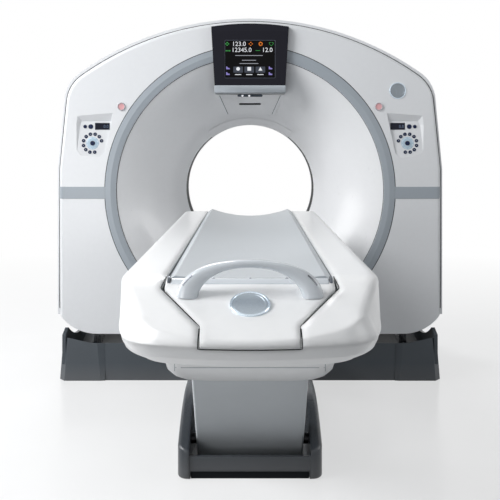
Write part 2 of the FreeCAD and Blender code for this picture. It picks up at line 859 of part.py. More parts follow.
def gantry_base():
    """The floor base: a low middle and two end blocks, hollowed as a saddle for the tilt, with curved tracks."""
    edge, end = d.saddle_flare_from, d.base_half + 20
    turned = new_body("saddle")
    spin(turned, sketch(turned, "XZ", [
        (-end, Size.of(0)), (-end, -d.saddle_end_radius), (-edge, -d.saddle_radius),
        (edge, -d.saddle_radius), (end, -d.saddle_end_radius), (end, Size.of(0))], lift=d.iso_height))
    saddle = turned
    middle = box("base_middle_blank", (-d.base_mid_half, -d.base_mid_front, 0),
                 (d.base_mid_half, d.base_mid_rear, d.base_mid_height))
    anchors = [
        rod(f"anchor_hole_{n}", "Z", d.anchor_radius, (across, d.base_mid_rear - 40, -10), 300)
        for n, across in enumerate((-600, 600))
    ]
    keep("gantry_base", less("gantry_base", middle, saddle, *anchors))

    def plan(draft, facet):
        outer = d.base_half - draft
        front = d.base_front - draft
        return [
            (d.base_mid_half, -front + facet / 5), (d.base_mid_half + facet, -front),
            (outer - 30, -front), (outer, -front + 40), (outer, d.base_rear - draft),
            (d.base_mid_half, d.base_rear - draft),
        ]
    block = blend("base_end_blank", "XY", [
        (0, plan(Size.of(0), Size.of(22))), (d.base_end_height, plan(d.base_draft, Size.of(48)))])
    horn = box("base_horn", (d.base_mid_half, d.base_rise_from, d.base_end_height / 2),
               (d.base_half - d.base_draft, d.base_rear - d.base_draft, d.base_rear_height))
    side = d.base_half - d.base_draft
    nose = -d.base_front + d.base_draft
    low = d.base_end_height * 0.35
    cheek = less(
        "base_cheek",
        slab("cheek_plate", "YZ", [
            (nose, low), (d.base_rear - d.base_draft, low),
            (d.base_rear - d.base_draft, d.base_rear_height), (d.base_rise_from, d.base_rear_height),
            (d.base_rise_from, d.cheek_height), (d.cheek_front, d.cheek_height),
            (nose, d.base_end_height)], side - d.cheek_inner, offset=d.cheek_inner),
        rod("cheek_saddle", "X", d.cheek_radius, (d.base_mid_half, 0, d.iso_height), d.base_half))
    reach = d.base_rear + 400
    slot = shared("track_space", track_profile("track_slot", d.track_gap, 110, d.saddle_radius - 60),
                  box("track_stop", (0, -d.track_front, 0), (d.base_half, reach, d.iso_height)))
    right = keep("base_end_right",
                 joined("base_end", less("base_block", joined("base_end_solid", block, horn),
                                         saddle, slot), cheek))
    keep("base_end_left", mirrored("base_end_left", right))


def tilt_shoes():
    """The curved shoes under the tilt frame; they lie behind the tilt axis, so the track needs no front mouth."""
    rail = track_profile("tilt_rail", 0, d.shoe_angle, d.shoe_inner)
    kept_part = box("shoe_part", (0, d.shoe_front, 0), (d.base_half, d.base_rear, d.iso_height))
    right = keep("tilt_shoe_right", shared("tilt_shoe", rail, kept_part))
    keep("tilt_shoe_left", mirrored("tilt_shoe_left", right))


def at_iso(height):
    return d.iso_height + height


def tilt_frame(space):
    """The ring plate that carries the rotor's bearing, its two side beams, and the brackets of the covers."""
    rear = d.frame_front + d.frame_thick
    plate = ring("frame_plate", [
        (d.frame_front, d.frame_inner), (rear, d.frame_inner), (rear, d.frame_outer),
        (d.frame_front, d.frame_outer)])
    outer = d.track_across - d.track_web / 2
    beam = box("beam", (d.beam_inner, -d.beam_front, at_iso(d.beam_low)),
               (outer, rear, at_iso(d.beam_top)))
    gusset = box("gusset", (d.frame_inner - 20, d.frame_front, at_iso(d.beam_low)),
                 (outer, rear, at_iso(d.beam_top)))
    arm = joined("frame_arm", beam, gusset)
    shaft_hole = rod("shaft_hole", "Y", 22, (d.pulley_across, 0, at_iso(-d.pulley_drop)), 400)
    frame = less("tilt_frame", joined("frame_blank", plate, arm, mirrored("frame_arm_left", arm)),
                 shaft_hole)
    keep("tilt_frame", frame)
    stays = [
        box("top_stay", (280, d.frame_front, at_iso(d.frame_outer - 60)), (330, rear, at_iso(950))),
        box("side_stay", (d.frame_outer - 40, d.frame_front, at_iso(120)),
            (d.half_width, rear, at_iso(170))),
        box("low_stay", (outer, d.beam_front + 10, at_iso(-450)),
            (d.half_width, d.beam_front + 60, at_iso(-395))),
    ]
    right = joined("stays_right", *stays)
    stay_set = joined("stays", right, mirrored("stays_left", right))
    keep("cover_brackets", less("cover_brackets", shared("stays_inside", stay_set, space), frame))


def rotor():
    """The spinning part: drum, bearing races, slip ring, tube, generator, cooler and detector."""
    back = d.rotor_front + d.rotor_thick
    keep("rotor_drum", ring("rotor_drum", [
        (d.rotor_front, d.rotor_inner), (d.rotor_front, d.rotor_outer), (back, d.rotor_outer),
        (back, d.sleeve_outer), (d.sleeve_rear, d.sleeve_outer), (d.sleeve_rear, d.sleeve_inner),
        (back, d.sleeve_inner), (back, d.rotor_inner)]))
    start = d.frame_front - d.race_width
    split = d.race_split
    keep("bearing_inner_race", ring("bearing_inner_race", [
        (start, d.sleeve_outer), (d.frame_front - 2, d.sleeve_outer), (d.frame_front - 2, split),
        (start, split)]))
    keep("bearing_outer_race", ring("bearing_outer_race", [
        (start, split + d.running_gap), (d.frame_front, split + d.running_gap),
        (d.frame_front, d.race_outer), (start, d.race_outer)]))
    keep("slip_ring", ring("slip_ring", [
        (d.slip_front, d.sleeve_outer), (d.slip_front + d.slip_width, d.sleeve_outer),
        (d.slip_front + d.slip_width, d.slip_outer), (d.slip_front, d.slip_outer)]))
    rear = d.frame_front + d.frame_thick
    keep("brush_block", box("brush_block", (-45, rear, at_iso(d.slip_outer + 0.5)),
                            (45, d.slip_front + d.slip_width, at_iso(d.slip_outer + 60))))
    length = d.rotor_front + 80
    tube = rod("tube_housing", "Y", d.tube_radius, (0, -80, at_iso(d.tube_reach)), length)
    snout = box("tube_snout", (-55, -45, at_iso(385)), (55, 45, at_iso(d.tube_reach)))
    keep("xray_tube", joined("xray_tube", tube, snout))
    for name, side in (("generator", 1), ("cooler", -1)):
        inner, outer = Size.of(430 * side), Size.of(620 * side)
        low, high = (inner, outer) if side > 0 else (outer, inner)
        keep(name, box(name, (low, -80, at_iso(-150)), (high, d.rotor_front, at_iso(150))))
    keep("detector", ring("detector", [
        (-60, -540), (-60, -625), (d.rotor_front, -625), (d.rotor_front, -540)], angle=96))


def belt_loop(grow):
    """The closed line of the drive belt round the rotor and the motor's pulley, as a wire in X and Z."""
    big = d.rotor_outer.value + grow
    small = d.pulley_radius.value + grow
    centre = Vector(d.pulley_across.value, 0, -d.pulley_drop.value)
    reach = centre.Length
    heading = math.atan2(centre.z, centre.x)
    spread = math.acos((big - small) / reach)

    def on(radius, angle, middle):
        return middle + Vector(radius * math.cos(angle), 0, radius * math.sin(angle))
    first, last = heading + spread, heading - spread
    far = Vector()
    edges = [
        Part.Arc(on(big, first, far), on(big, heading + math.pi, far), on(big, last, far)).toShape(),
        Part.LineSegment(on(big, last, far), on(small, last, centre)).toShape(),
        Part.Arc(on(small, last, centre), on(small, heading, centre), on(small, first, centre)).toShape(),
        Part.LineSegment(on(small, first, centre), on(big, first, far)).toShape(),
    ]
    return Part.Wire(edges)


def rotor_drive():
    """The belt drive: motor behind the tilt frame, pulley and shaft, and the belt round the drum."""
    gap = d.running_gap.value
    outer = Part.Face(belt_loop(gap + d.belt_thick.value))
    inner = Part.Face(belt_loop(gap))
    belt = doc.addObject("Part::Feature", "drive_belt")
    belt.Shape = outer.cut(inner).extrude(Vector(0, d.rotor_thick.value - 10, 0))
    belt.Placement = Placement(
        Vector(0, d.rotor_front.value + 5, d.iso_height.value), Rotation())
    keep("drive_belt", belt)
    centre = (d.pulley_across, at_iso(-d.pulley_drop))
    rear = d.frame_front + d.frame_thick
    wheel = rod("pulley_wheel", "Y", d.pulley_radius, (centre[0], d.rotor_front, centre[1]),
                d.rotor_thick)
    shaft = rod("pulley_shaft", "Y", 15, (centre[0], d.rotor_front, centre[1]),
                rear - d.rotor_front - d.running_gap)
    keep("motor_pulley", joined("motor_pulley", wheel, shaft))
    keep("drive_motor", rod("drive_motor", "Y", d.motor_radius, (centre[0], rear, centre[1]),
                            d.motor_length))


# ---------------------------------------------------------------- patient table


def tangent_radius(across, along):
    """The radius of an arc that starts along the table and ends so far across and so far on."""
    return (across * across + along * along) / (across * 2)


def table_plan(inset, side=0, nose=0):
    """The table's outline at one height: straight sides, rounded corners and a slightly rounded front.

    The sides and the nose are drawn in on their own, as the upper edge and the underside need."""
    half = d.table_half - inset - side
    hip = d.table_half - 35 - inset - side - Size.of(nose) * 0.6
    hip_at = d.table_nose + 116 + inset / 2 + Size.of(nose) * 0.66
    toe = d.table_half - 130 - inset / 2 - side / 2 - Size.of(nose) * 0.5
    toe_at = d.table_nose + d.nose_crown + inset + nose
    start = d.nose_start
    far = d.table_far - inset
    flank = tangent_radius(half - hip, start - hip_at)
    gap_x, gap_y = hip - toe, hip_at - toe_at
    corner = root(gap_x * gap_x + gap_y * gap_y) * 1.05
    front = (toe * toe + d.nose_crown * d.nose_crown) / (d.nose_crown * 2)
    return [
        (half, far), (half, start, -flank), (hip, hip_at, -corner), (toe, toe_at, -front),
        (-toe, toe_at, -corner), (-hip, hip_at, -flank), (-half, start), (-half, far),
    ]


def loft_between(body, sections):
    """A ruled loft through sketches on the body."""
    item = body.newObject("PartDesign::AdditiveLoft", f"{body.Name}_loft")
    item.Profile = sections[0]
    item.Sections = sections[1:]
    item.Ruled = True


def table_form(name, inset=0, low=None, taper=False):
    """The solid form of the table's cover: flat top, sloping nose, and a tucked-in lower edge."""
    bottom = d.table_low if low is None else low
    top = d.table_top - inset
    body = new_body(name)
    waist = bottom + (d.table_crease - bottom) * 0.42
    levels = [
        (bottom, d.under_side, d.under_nose), (waist, d.under_side * 0.3, d.under_nose * 0.42),
        (d.table_crease, 0, 0),
    ]
    loft_between(body, [
        sketch(body, "XY", table_plan(inset, side, nose), height) for height, side, nose in levels])
    loft_between(body, [
        sketch(body, "XY", table_plan(inset), d.table_crease),
        sketch(body, "XY", table_plan(inset, 0, d.top_nose), top)])
    nose = d.table_nose + inset
    profile = sketch(body, "YZ", [
        (d.slope_start, top), (d.slope_start, top + 50), (nose - 60, top + 50),
        (nose - 60, d.table_crease - 4), (nose - 4, d.table_crease - 4, -d.nose_lip_radius),
        (d.slope_end + inset * 0.4, d.slope_end_height - inset * 0.9),
        (d.slope_knee + inset * 0.4, d.slope_knee_height - inset * 0.9, -d.slope_knee_radius)])
    pocket(body, profile, d.table_half * 2 + 100, middle=True)
    if taper:
        far, reach = d.table_far, d.taper_length
        profile = sketch(body, "YZ", [
            (far - reach, d.table_low + inset), (far - reach, d.table_low - 40),
            (far + 20, d.table_low - 40), (far + 20, d.taper_height + inset),
            (far, d.taper_height + inset)])
        pocket(body, profile, d.table_half * 2 + 100, middle=True)
    return body


def is_table_edge(edge):
    """True for the upper edges of the table's cover, from its far end round to the nose."""
    span = edge.BoundBox
    low = span.ZMin < d.slope_end_height.value + 30
    upright = span.ZLength > 50 and span.YLength < 30
    across = span.YLength < 2 or (span.XMin < -50 and span.XMax > 50)
    return not (low or upright or across)


def cutout_plan(gap=0, far=None, narrow=0):
    """The plan of the cradle's channel and of the end block's place in the nose."""
    beyond = d.table_nose - 60
    end = d.table_far + 60 if far is None else far
    channel = d.channel_half - gap
    wide = d.cut_half - gap - narrow
    return [
        (channel, end), (channel, d.cradle_near), (wide, d.cut_wide_at),
        (d.cut_narrow_half - gap, d.cut_narrow_at), (d.cut_front_half - gap, beyond),
        (-d.cut_front_half + gap, beyond), (-d.cut_narrow_half + gap, d.cut_narrow_at),
        (-wide, d.cut_wide_at), (-channel, d.cradle_near), (-channel, end),
    ]


def table_covers():
    """The table's white cover, the tray in it, the moving end block and the pan below."""
    form = table_form("table_form", taper=True)
    round_edges(form, d.edge_round, is_table_edge)
    hollow = table_form("table_hollow", d.shell_wall, d.table_low + d.shell_wall, taper=True)
    top = d.table_top + 20
    cut = slab("table_cut", "XY", cutout_plan(), top - d.skirt_bottom + d.seam_gap,
               offset=d.skirt_bottom - d.seam_gap)
    channel = box("channel_cut", (-d.channel_half - d.deck_thick, d.cradle_near, d.table_low - 5),
                  (d.channel_half + d.deck_thick, d.table_far + 20, d.table_top - d.shell_wall))
    below = box("pan_opening", (-d.pan_half + 4, d.pan_front + 10, d.table_low - 20),
                (d.pan_half - 4, d.pan_rear - 10, d.table_low + 40))
    keep("upper_shell", less("upper_shell", form, hollow, cut, channel, below))

    outer = slab("deck_outer", "XY", cutout_plan(-d.deck_thick, d.table_far),
                 top - d.deck_floor, offset=d.deck_floor - d.deck_thick)
    inner = slab("deck_inner", "XY", cutout_plan(0), top - d.deck_floor, offset=d.deck_floor)
    room = table_form("deck_room", d.shell_wall, d.table_low + d.shell_wall)
    keep("table_deck", shared("table_deck", less("deck_blank", outer, inner), room))

    gap = d.seam_gap
    block_top = slab("block_plan", "XY", cutout_plan(gap, narrow=7)[1:-1],
                     top - d.skirt_bottom, offset=d.skirt_bottom)
    core = shared(
        "block_core", table_form("block_hollow", d.shell_wall + 2, d.table_low - 40),
        slab("block_inside", "XY", cutout_plan(gap + d.shell_wall, narrow=7)[1:-1],
             top - d.skirt_bottom + 20, offset=d.skirt_bottom - 20))
    rail_room = [
        box(f"rail_room_{side}", (low, d.table_nose, d.skirt_bottom - 20),
            (high, d.cradle_near + 20, d.rail_top + 3))
        for side, low, high in (("left", -d.table_half, -d.rail_inner + 4),
                                ("right", d.rail_inner - 4, d.table_half))
    ]
    skin = less("block_skin", shared("block_blank", form, block_top), core, *rail_room)
    wall = box("block_wall", (-d.cradle_half + 6, d.cradle_near - 10, d.cradle_under),
               (d.cradle_half - 6, d.cradle_near, d.table_top - 4))
    keep("cradle_end_block", joined("cradle_end_block", skin, wall))
    return form


def is_pan_corner(span):
    """True for the pan's two upright corners at the front."""
    ahead = span.YMax < d.pan_front.value + d.pan_wall.value + 1
    return ahead and span.ZLength > 20 and span.XLength < 8


def belly_pan():
    """The white pan below the table, open above and slotted for the legs."""
    half = d.pan_half
    low = d.pan_low

    def section(inset, top):
        return both_sides([
            (100 - inset / 2, low + 2 + inset), (160 - inset, low + 6 + inset),
            (188 - inset, low + 14 + inset), (half - 11 - inset, low + 28 + inset / 2),
            (half - inset, low + 52), (half + 4 - inset, top)])
    front = -d.pan_front
    length = d.pan_rear - d.pan_front
    outer = new_body("pan_outer")
    profile = sketch(outer, "XZ", section(Size.of(0), d.table_low), front)
    pad(outer, profile, length, backwards=True)
    round_edges(outer, d.pan_corner, lambda edge: is_pan_corner(edge.BoundBox))
    wall = d.pan_wall
    inner = slab("pan_inner", "XZ", section(wall, d.table_low + 10), length - wall * 2,
                 offset=front - wall, backwards=True)
    round_edges(inner, d.pan_corner - wall, lambda edge: is_pan_corner(edge.BoundBox))
    slot_front = leg_point(0, 0)[0] - 45
    slot_rear = leg_point(0, 0)[0] + 1110
    slot = box("pan_slot", (-d.panel_half_width - 5, slot_front, low - 10),
               (d.panel_half_width + 5, slot_rear, low + 60))
    keep("belly_pan", less("belly_pan", outer, inner, slot))


def cradle():
    """The concave patient board, deeper towards the gantry, with its carriages on the table's rails."""
    def section(lip, sag):
        radius = (d.cradle_lip_half * d.cradle_lip_half + sag * sag) / (sag * 2)
        return [
            (150, d.cradle_under), (d.cradle_half, d.cradle_under + 32),
            (d.cradle_half, lip - 13), (d.cradle_lip_half, lip, -radius),
            (-d.cradle_lip_half, lip), (-d.cradle_half, lip - 13),
            (-d.cradle_half, d.cradle_under + 32), (-150, d.cradle_under),
        ]
    keep("cradle", blend("cradle", "XZ", [
        (-d.cradle_near, section(d.cradle_near_lip, d.cradle_near_sag)),
        (-d.table_far, section(d.cradle_far_lip, d.cradle_far_sag)),
    ]))
    inner, width = d.rail_inner, d.rail_width
    rails, carriages = [], []
    for side in (-1, 1):
        middle = (inner + width / 2) * side
        half = width / 2
        floor = d.deck_floor
        rails.append(slab(f"rail_{side}", "XZ", [
            (middle - half, floor), (middle + half, floor), (middle + half, floor + 8),
            (middle + 6, floor + 14), (middle + 6, d.rail_top - 14), (middle + half, d.rail_top - 8),
            (middle + half, d.rail_top), (middle - half, d.rail_top), (middle - half, d.rail_top - 8),
            (middle - 6, d.rail_top - 14), (middle - 6, floor + 14), (middle - half, floor + 8),
        ], -d.cradle_near + d.table_far - 60, offset=-d.table_far + 30))
        for place_name, start in (("front", 20), ("rear", 440)):
            along = d.cradle_near + start
            carriages.append(box(
                f"carriage_{place_name}_{side}",
                (middle - half - 5, along, d.rail_top + d.running_gap),
                (middle + half + 5, along + 90, d.cradle_under)))
    keep("guide_rails", joined("guide_rails", *rails))
    keep("cradle_carriages", joined("cradle_carriages", *carriages))


def cradle_handle(form):
    """The arched pull handle on the end block."""
    half = d.handle_half
    foot = d.handle_crown - d.handle_rise
    low = foot - 30
    outer = (half * half + d.handle_rise * d.handle_rise) / (d.handle_rise * 2)
    reach = half - d.handle_foot
    inner_rise = d.handle_rise - d.handle_thick + 6
    inner = (reach * reach + inner_rise * inner_rise) / (inner_rise * 2)
    arch = slab("handle_arch", "XZ", [
        (half, low), (half, foot, outer), (-half, foot), (-half, low),
        (-reach, low), (-reach, foot - 6, -inner), (reach, foot - 6), (reach, low)],
        d.handle_depth, offset=-d.handle_at - d.handle_depth / 2)
    keep("cradle_handle", less("cradle_handle", arch, form))


# ---------------------------------------------------------------- swing-arm lift


def leg_point(along, ahead, foot=None):
    """A point in Y and Z, measured along a leg from its top pivot down, and square to it on its front."""
    start = d.leg_foot if foot is None else foot
    reach = d.leg_length - along
    back, rise = cosine(d.lift_angle), sine(d.lift_angle)
    return (start - reach * back - rise * ahead, d.leg_pivot_height + reach * rise - back * ahead)


def leg_outline(foot, top, bottom, front, rear):
    """A leg's side outline with round ends about its pivots, or a plain strip where front and rear differ."""
    turn = (front - rear) / 2
    return [
        leg_point(top, front, foot) + (-turn,), leg_point(top, rear, foot),
        leg_point(bottom, rear, foot) + (-turn,), leg_point(bottom, front, foot),
    ]


def leg(name, foot, top_gap):
    """A swing arm: two side arms joined by a web at each end, bored for its two shafts."""
    half = d.leg_half_thick
    body = new_body(name)
    outline = leg_outline(foot, Size.of(0), d.leg_length, half, -half)
    pad(body, sketch(body, "YZ", outline), d.leg_half_width * 2, middle=True)
    gap = [
        leg_point(90, half + 5, foot), leg_point(90, -half - 5, foot),
        leg_point(d.leg_length - 90, -half - 5, foot), leg_point(d.leg_length - 90, half + 5, foot)]
    pocket(body, sketch(body, "YZ", gap), (d.leg_half_width - d.leg_arm) * 2, middle=True)
    bores = []
    for end, along, play in (("top", Size.of(0), top_gap), ("foot", d.leg_length, d.pivot_gap)):
        centre = leg_point(along, 0, foot)
        bores.append(rod(f"{name}_{end}_bore", "X", d.shaft_radius + play,
                         (-d.leg_half_width - 5, *centre), d.leg_half_width * 2 + 10))
    return keep(name, less(f"{name}_bored", body, *bores))


def lift():
    """Front and rear legs, the sheet on the front leg, and the four pivot shafts."""
    rear_foot = d.leg_foot + d.leg_spacing
    leg("front_leg", d.leg_foot, d.pivot_gap)
    leg("rear_leg", rear_foot, d.open_pivot_gap)
    face = d.leg_half_thick
    strip = [
        leg_point(d.leg_length - d.panel_reach, face), leg_point(d.leg_length - d.panel_reach, face + d.panel_sheet),
        leg_point(d.leg_length + d.panel_tail, face + d.panel_sheet),
        leg_point(d.leg_length + d.panel_tail, face)]
    foremost = strip[1][0].value + 1
    panel = slab("leg_panel", "YZ", strip, d.panel_half_width * 2, middle=True)
    round_edges(panel, d.panel_round, lambda edge: (
        edge.BoundBox.XLength < 1 and edge.Length > 100 and edge.BoundBox.YMin < foremost))
    keep("leg_panel", panel)
    for label, along, half in (("foot_shafts", d.leg_length, d.tub_half),
                               ("table_shafts", Size.of(0), d.web_half)):
        shafts = [
            rod(f"{label}_{n}", "X", d.shaft_radius, (-half, *leg_point(along, 0, foot)), half * 2)
            for n, foot in enumerate((d.leg_foot, rear_foot))
        ]
        keep(label, joined(label, *shafts))


def table_frame():
    """The table's ladder frame: two webs bored for the leg shafts, and cross tubes under the deck."""
    top = d.deck_floor - d.deck_thick
    near, far = d.pan_front + 180, d.pan_rear - 20
    rear_foot = d.leg_foot + d.leg_spacing
    bores = [
        rod(f"web_bore_{n}", "X", d.shaft_radius, (-d.web_half - 20, *leg_point(0, 0, foot)),
            d.web_half * 2 + 40)
        for n, foot in enumerate((d.leg_foot, rear_foot))
    ]
    inner = d.web_half - d.web_thick
    webs = [
        box("web_left", (-d.web_half, near, d.web_low), (-inner, far, top)),
        box("web_right", (inner, near, d.web_low), (d.web_half, far, top)),
    ]
    ties = [
        box(f"cross_tube_{n}", (-inner, near + (far - near - 50) * share, top - 32),
            (inner, near + (far - near - 50) * share + 50, top))
        for n, share in enumerate((0, 0.34, 0.67, 1))
    ]
    keep("table_frame", less("table_frame", joined("frame_ladder", *webs, *ties), *bores))


def is_tub_corner(span):
    """True for the tub's two upright corners at the front."""
    return span.YLength < 1 and span.XLength < 1 and span.YMax < d.tub_front.value + 1


def is_tub_rim(span):
    """True for the upper and lower outer edges of the tub's side walls."""
    outside = min(abs(span.XMin), abs(span.XMax)) > d.tub_half.value - d.tub_corner.value - 1
    return outside and span.YLength > d.tub_corner.value - 1


def table_base():
    """The dark floor tub: side walls that sweep up from the front bar, a floor plate and shaft bores."""
    front, half = d.tub_front, d.tub_half
    rear = -d.base_mid_front
    body = new_body("tub_blank")
    pad(body, sketch(body, "YZ", [
        (front, 0), (rear, 0), (rear, d.tub_wall_height),
        (front + d.tub_sweep_length, d.tub_wall_height, d.tub_sweep_radius),
        (front, d.tub_wall_front)]), half * 2, middle=True)
    round_edges(body, d.tub_corner, lambda edge: is_tub_corner(edge.BoundBox))
    round_edges(body, d.tub_round, lambda edge: is_tub_rim(edge.BoundBox))
    inner = half - d.tub_wall
    space = joined(
        "tub_space",
        box("tub_room", (-inner, front + d.tub_wall, d.tub_floor), (inner, rear - 20, 400)),
        box("over_bar", (-inner, front - 10, d.tub_bar_height), (inner, front + d.tub_wall + 5, 400)),
        box("bar_set_back", (-inner, front - 10, -10), (inner, front + d.tub_bar_set_back, 400)),
        box("bar_step", (-inner, front + d.tub_bar_set_back + d.tub_bar_lip, d.tub_bar_back),
            (inner, front + d.tub_wall + 5, 400)),
        box("toe_recess", (-d.tub_toe_half, front - 10, -10),
            (d.tub_toe_half, front + d.tub_toe_depth, d.tub_toe_height)))
    bores = [
        rod(f"tub_bore_{n}", "X", d.shaft_radius, (-half - 10, *leg_point(d.leg_length, 0, foot)),
            half * 2 + 20)
        for n, foot in enumerate((d.leg_foot, d.leg_foot + d.leg_spacing))
    ]
    anchors = [
        rod(f"tub_anchor_{n}", "Z", d.anchor_radius, (across, along, -5), 30)
        for n, (across, along) in enumerate([(-170, -1500), (170, -1500), (-170, -700), (170, -700)])
    ]
    keep("table_base", less("table_base", body, space, *bores, *anchors))


def build():
    display = display_block("display_block")
    front_cover(display)
    rear_cover()
    space = side_and_top_covers()
    bore_covers(display)
    display_pieces(display)
    stripes_and_lamps()
    control_panels()
    gantry_base()
    tilt_shoes()
    tilt_frame(space)
    rotor()
    rotor_drive()
    form = table_covers()
    belly_pan()
    cradle()
    cradle_handle(form)
    lift()
    table_frame()
    table_base()
    doc.recompute()


def check_and_export():
    """Refuses a failed object or a bad shape, then writes each piece to its own file."""
    for item in doc.Objects:
        if "Invalid" in item.State or "Error" in item.State:
            raise RuntimeError(f"{item.Label} did not build: {item.State}")
        if hasattr(item, "Shape") and item.Shape.isNull():
            raise RuntimeError(f"{item.Label} came out empty")
    for label, item in kept.items():
        if item.Shape.isNull() or not item.Shape.isValid() or not item.Shape.Solids:
            raise RuntimeError(f"{label} has no valid shape")
    os.makedirs("parts", exist_ok=True)
    for label, item in kept.items():
        item.Shape.exportStep(f"parts/{label}.step")
    print(f"{len(kept)} pieces written")


build()
check_and_export()
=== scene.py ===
"""Looks of a CT scanner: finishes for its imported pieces, the details on them, the floor, lights and camera.

Metres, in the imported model's frame: the origin is on the floor under the centre of the bore, +X to the
right seen from the table's foot, +Y from the table towards the back of the gantry, +Z up.
"""

import math

import bmesh
import bpy
from bpy.props import FloatProperty, FloatVectorProperty, IntProperty, PointerProperty
from bpy.types import Operator, Panel, PropertyGroup
from mathutils import Matrix, Vector
from mathutils.bvhtree import BVHTree


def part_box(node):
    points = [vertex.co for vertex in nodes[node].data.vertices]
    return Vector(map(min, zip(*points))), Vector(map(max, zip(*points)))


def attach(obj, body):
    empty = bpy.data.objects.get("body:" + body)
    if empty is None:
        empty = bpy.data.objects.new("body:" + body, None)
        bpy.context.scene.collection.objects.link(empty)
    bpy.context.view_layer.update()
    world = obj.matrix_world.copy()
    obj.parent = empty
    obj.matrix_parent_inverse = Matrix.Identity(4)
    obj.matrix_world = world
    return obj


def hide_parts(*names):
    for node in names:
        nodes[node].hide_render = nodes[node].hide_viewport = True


bl_info = {
    "name": "CT scanner looks",
    "version": (1, 0, 0),
    "blender": (4, 5, 0),
    "location": "3D View > Sidebar > Scanner",
    "description": "Builds the finishes and details of a CT scanner on its packed frame",
    "category": "Object",
}

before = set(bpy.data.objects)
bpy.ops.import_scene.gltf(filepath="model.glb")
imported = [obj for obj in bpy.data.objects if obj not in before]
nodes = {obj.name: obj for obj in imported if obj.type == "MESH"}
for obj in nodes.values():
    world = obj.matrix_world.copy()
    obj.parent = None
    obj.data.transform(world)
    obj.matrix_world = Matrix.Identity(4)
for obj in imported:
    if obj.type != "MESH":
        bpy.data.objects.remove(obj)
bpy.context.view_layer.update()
surfaces = {}                               # search trees of packed surfaces, filled by landing()

BORE = Vector((0, 0, 0.97))
DIAL = Vector((0.812, -0.409, 1.2145))      # the middle of the right control plate's dial
DIAL_LEAN = math.radians(5.4)
AHEAD = Vector((0, 1, 0))
UP = Vector((0, 0, 1))
SIDES = (("left", -1), ("right", 1))
ALL_WAYS = (1, 1, 1)
SCREEN_WHITE = (0.93, 0.94, 0.96)


# ---------------------------------------------------------------- sizes and colours that a user may change


def colour_property(name, description, default):
    return FloatVectorProperty(
        name=name, description=description, default=[c / 255 for c in default],
        min=0, max=1, size=3, subtype="COLOR_GAMMA")


def length_property(name, description, default):
    return FloatProperty(
        name=name, description=description, default=default, min=0, unit="LENGTH", subtype="DISTANCE")


def power_property(name, description, default):
    return FloatProperty(name=name, description=description, default=default, min=0, unit="POWER")


class ScannerColours(PropertyGroup):
    """Colours of the scanner's finishes."""

    cover: colour_property("Cover", "White moulded covers of the gantry", (229, 231, 234))
    # Painted lighter than the gantry's cover white, as painted light on the table's faces that turn up to the
    # light.
    shell: colour_property("Table cover", "White moulded covers of the table", (248, 249, 250))
    funnel: colour_property("Funnel", "Satin funnels at both ends of the bore", (240, 241, 243))
    ring: colour_property("Ring", "Grey ring and the stripes beside it", (158, 166, 174))
    housing: colour_property("Display housing", "Dark housing round the display", (22, 22, 31))
    chin: colour_property("Chin", "Grey lip under the display housing", (184, 191, 198))
    base: colour_property("Base", "Dark painted floor bases and legs", (72, 78, 84))
    tub: colour_property("Tub", "Dark painted tub of the table", (52, 57, 63))
    # Much lighter than the sheet's own grey: painted light that makes up for the table's shadow on it.
    sheet: colour_property("Leg sheet", "Grey sheet on the front leg", (216, 221, 225))
    cradle: colour_property("Cradle", "Patient board", (190, 196, 201))
    handle: colour_property("Handle", "Pull handle of the cradle", (212, 218, 224))
    key: colour_property("Keys", "Dark blue keys of the control panels", (22, 33, 62))
    dial: colour_property("Dial", "Pale blue dial round each centre key", (176, 198, 214))
    lamp: colour_property("Lamps", "Exposure lamps on the front cover", (232, 172, 176))
    badge: colour_property("Badges", "Plain metal badges", (122, 129, 135))


class ScannerDetails(PropertyGroup):
    """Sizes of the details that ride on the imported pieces."""

    handle_thick: length_property("Handle thickness", "Thickness of the pull handle at its crown", 0.0200)
    handle_deep: length_property("Handle depth", "Depth of the pull handle along the table", 0.033)
    badge_front: length_property("Front badge", "Radius of the badge on the gantry", 0.043)
    badge_table: length_property("Table badge", "Radius of the badge on the end block", 0.0485)
    gasket: length_property("Gasket", "Width of the dark gaskets in the seams", 0.0035)
    slats: IntProperty(name="Slats", description="Slats in each vent of the rear cover", default=13, min=1)


class ScannerStage(PropertyGroup):
    """Floor, lights and camera."""

    camera_height: length_property("Camera height", "Height of the camera above the floor", 1.20)
    camera_back: length_property("Camera distance", "Distance of the camera from the gantry's centre", 5.05)
    lens: FloatProperty(
        name="Lens", description="Focal length of the camera", default=64.8, min=1, unit="CAMERA")
    key: power_property("Key light", "Power of the high light at the left", 218)
    side: power_property("Side light", "Power of the lower light at the left", 72)
    far_side: power_property("Far side light", "Power of the light at the right", 42)
    low: power_property("Low light", "Power of the light low in front", 28)
    back: power_property("Back light", "Power of the light behind the gantry", 110)
    fill: FloatProperty(name="Fill", description="Strength of the light from all round", default=0.20, min=0)
    floor_glow: FloatProperty(
        name="Floor glow", description="Share of plain white that the camera sees in the floor", default=0.56,
        min=0, max=1, subtype="FACTOR")


# ---------------------------------------------------------------- node trees


class Flow:
    """An output socket; Python's operators on it add Math nodes."""

    def __init__(self, tree, socket):
        self.tree = tree
        self.socket = socket

    def math(self, operation, *values, clamp=False):
        return self.tree.node("ShaderNodeMath", dict(enumerate(values)), operation=operation, use_clamp=clamp)

    def __add__(self, other):
        return self.math("ADD", self, other)

    def __sub__(self, other):
        return self.math("SUBTRACT", self, other)

    def __rsub__(self, other):
        return self.math("SUBTRACT", other, self)

    def __mul__(self, other):
        return self.math("MULTIPLY", self, other)

    __radd__ = __add__
    __rmul__ = __mul__

    def between(self, low, high):
        """0 below low, 1 above high, and a straight rise between them."""
        return self.math("MULTIPLY", self - low, 1 / (high - low), clamp=True)

    def wave(self):
        return self.math("SINE", self)

    def root(self):
        return self.math("SQRT", self)


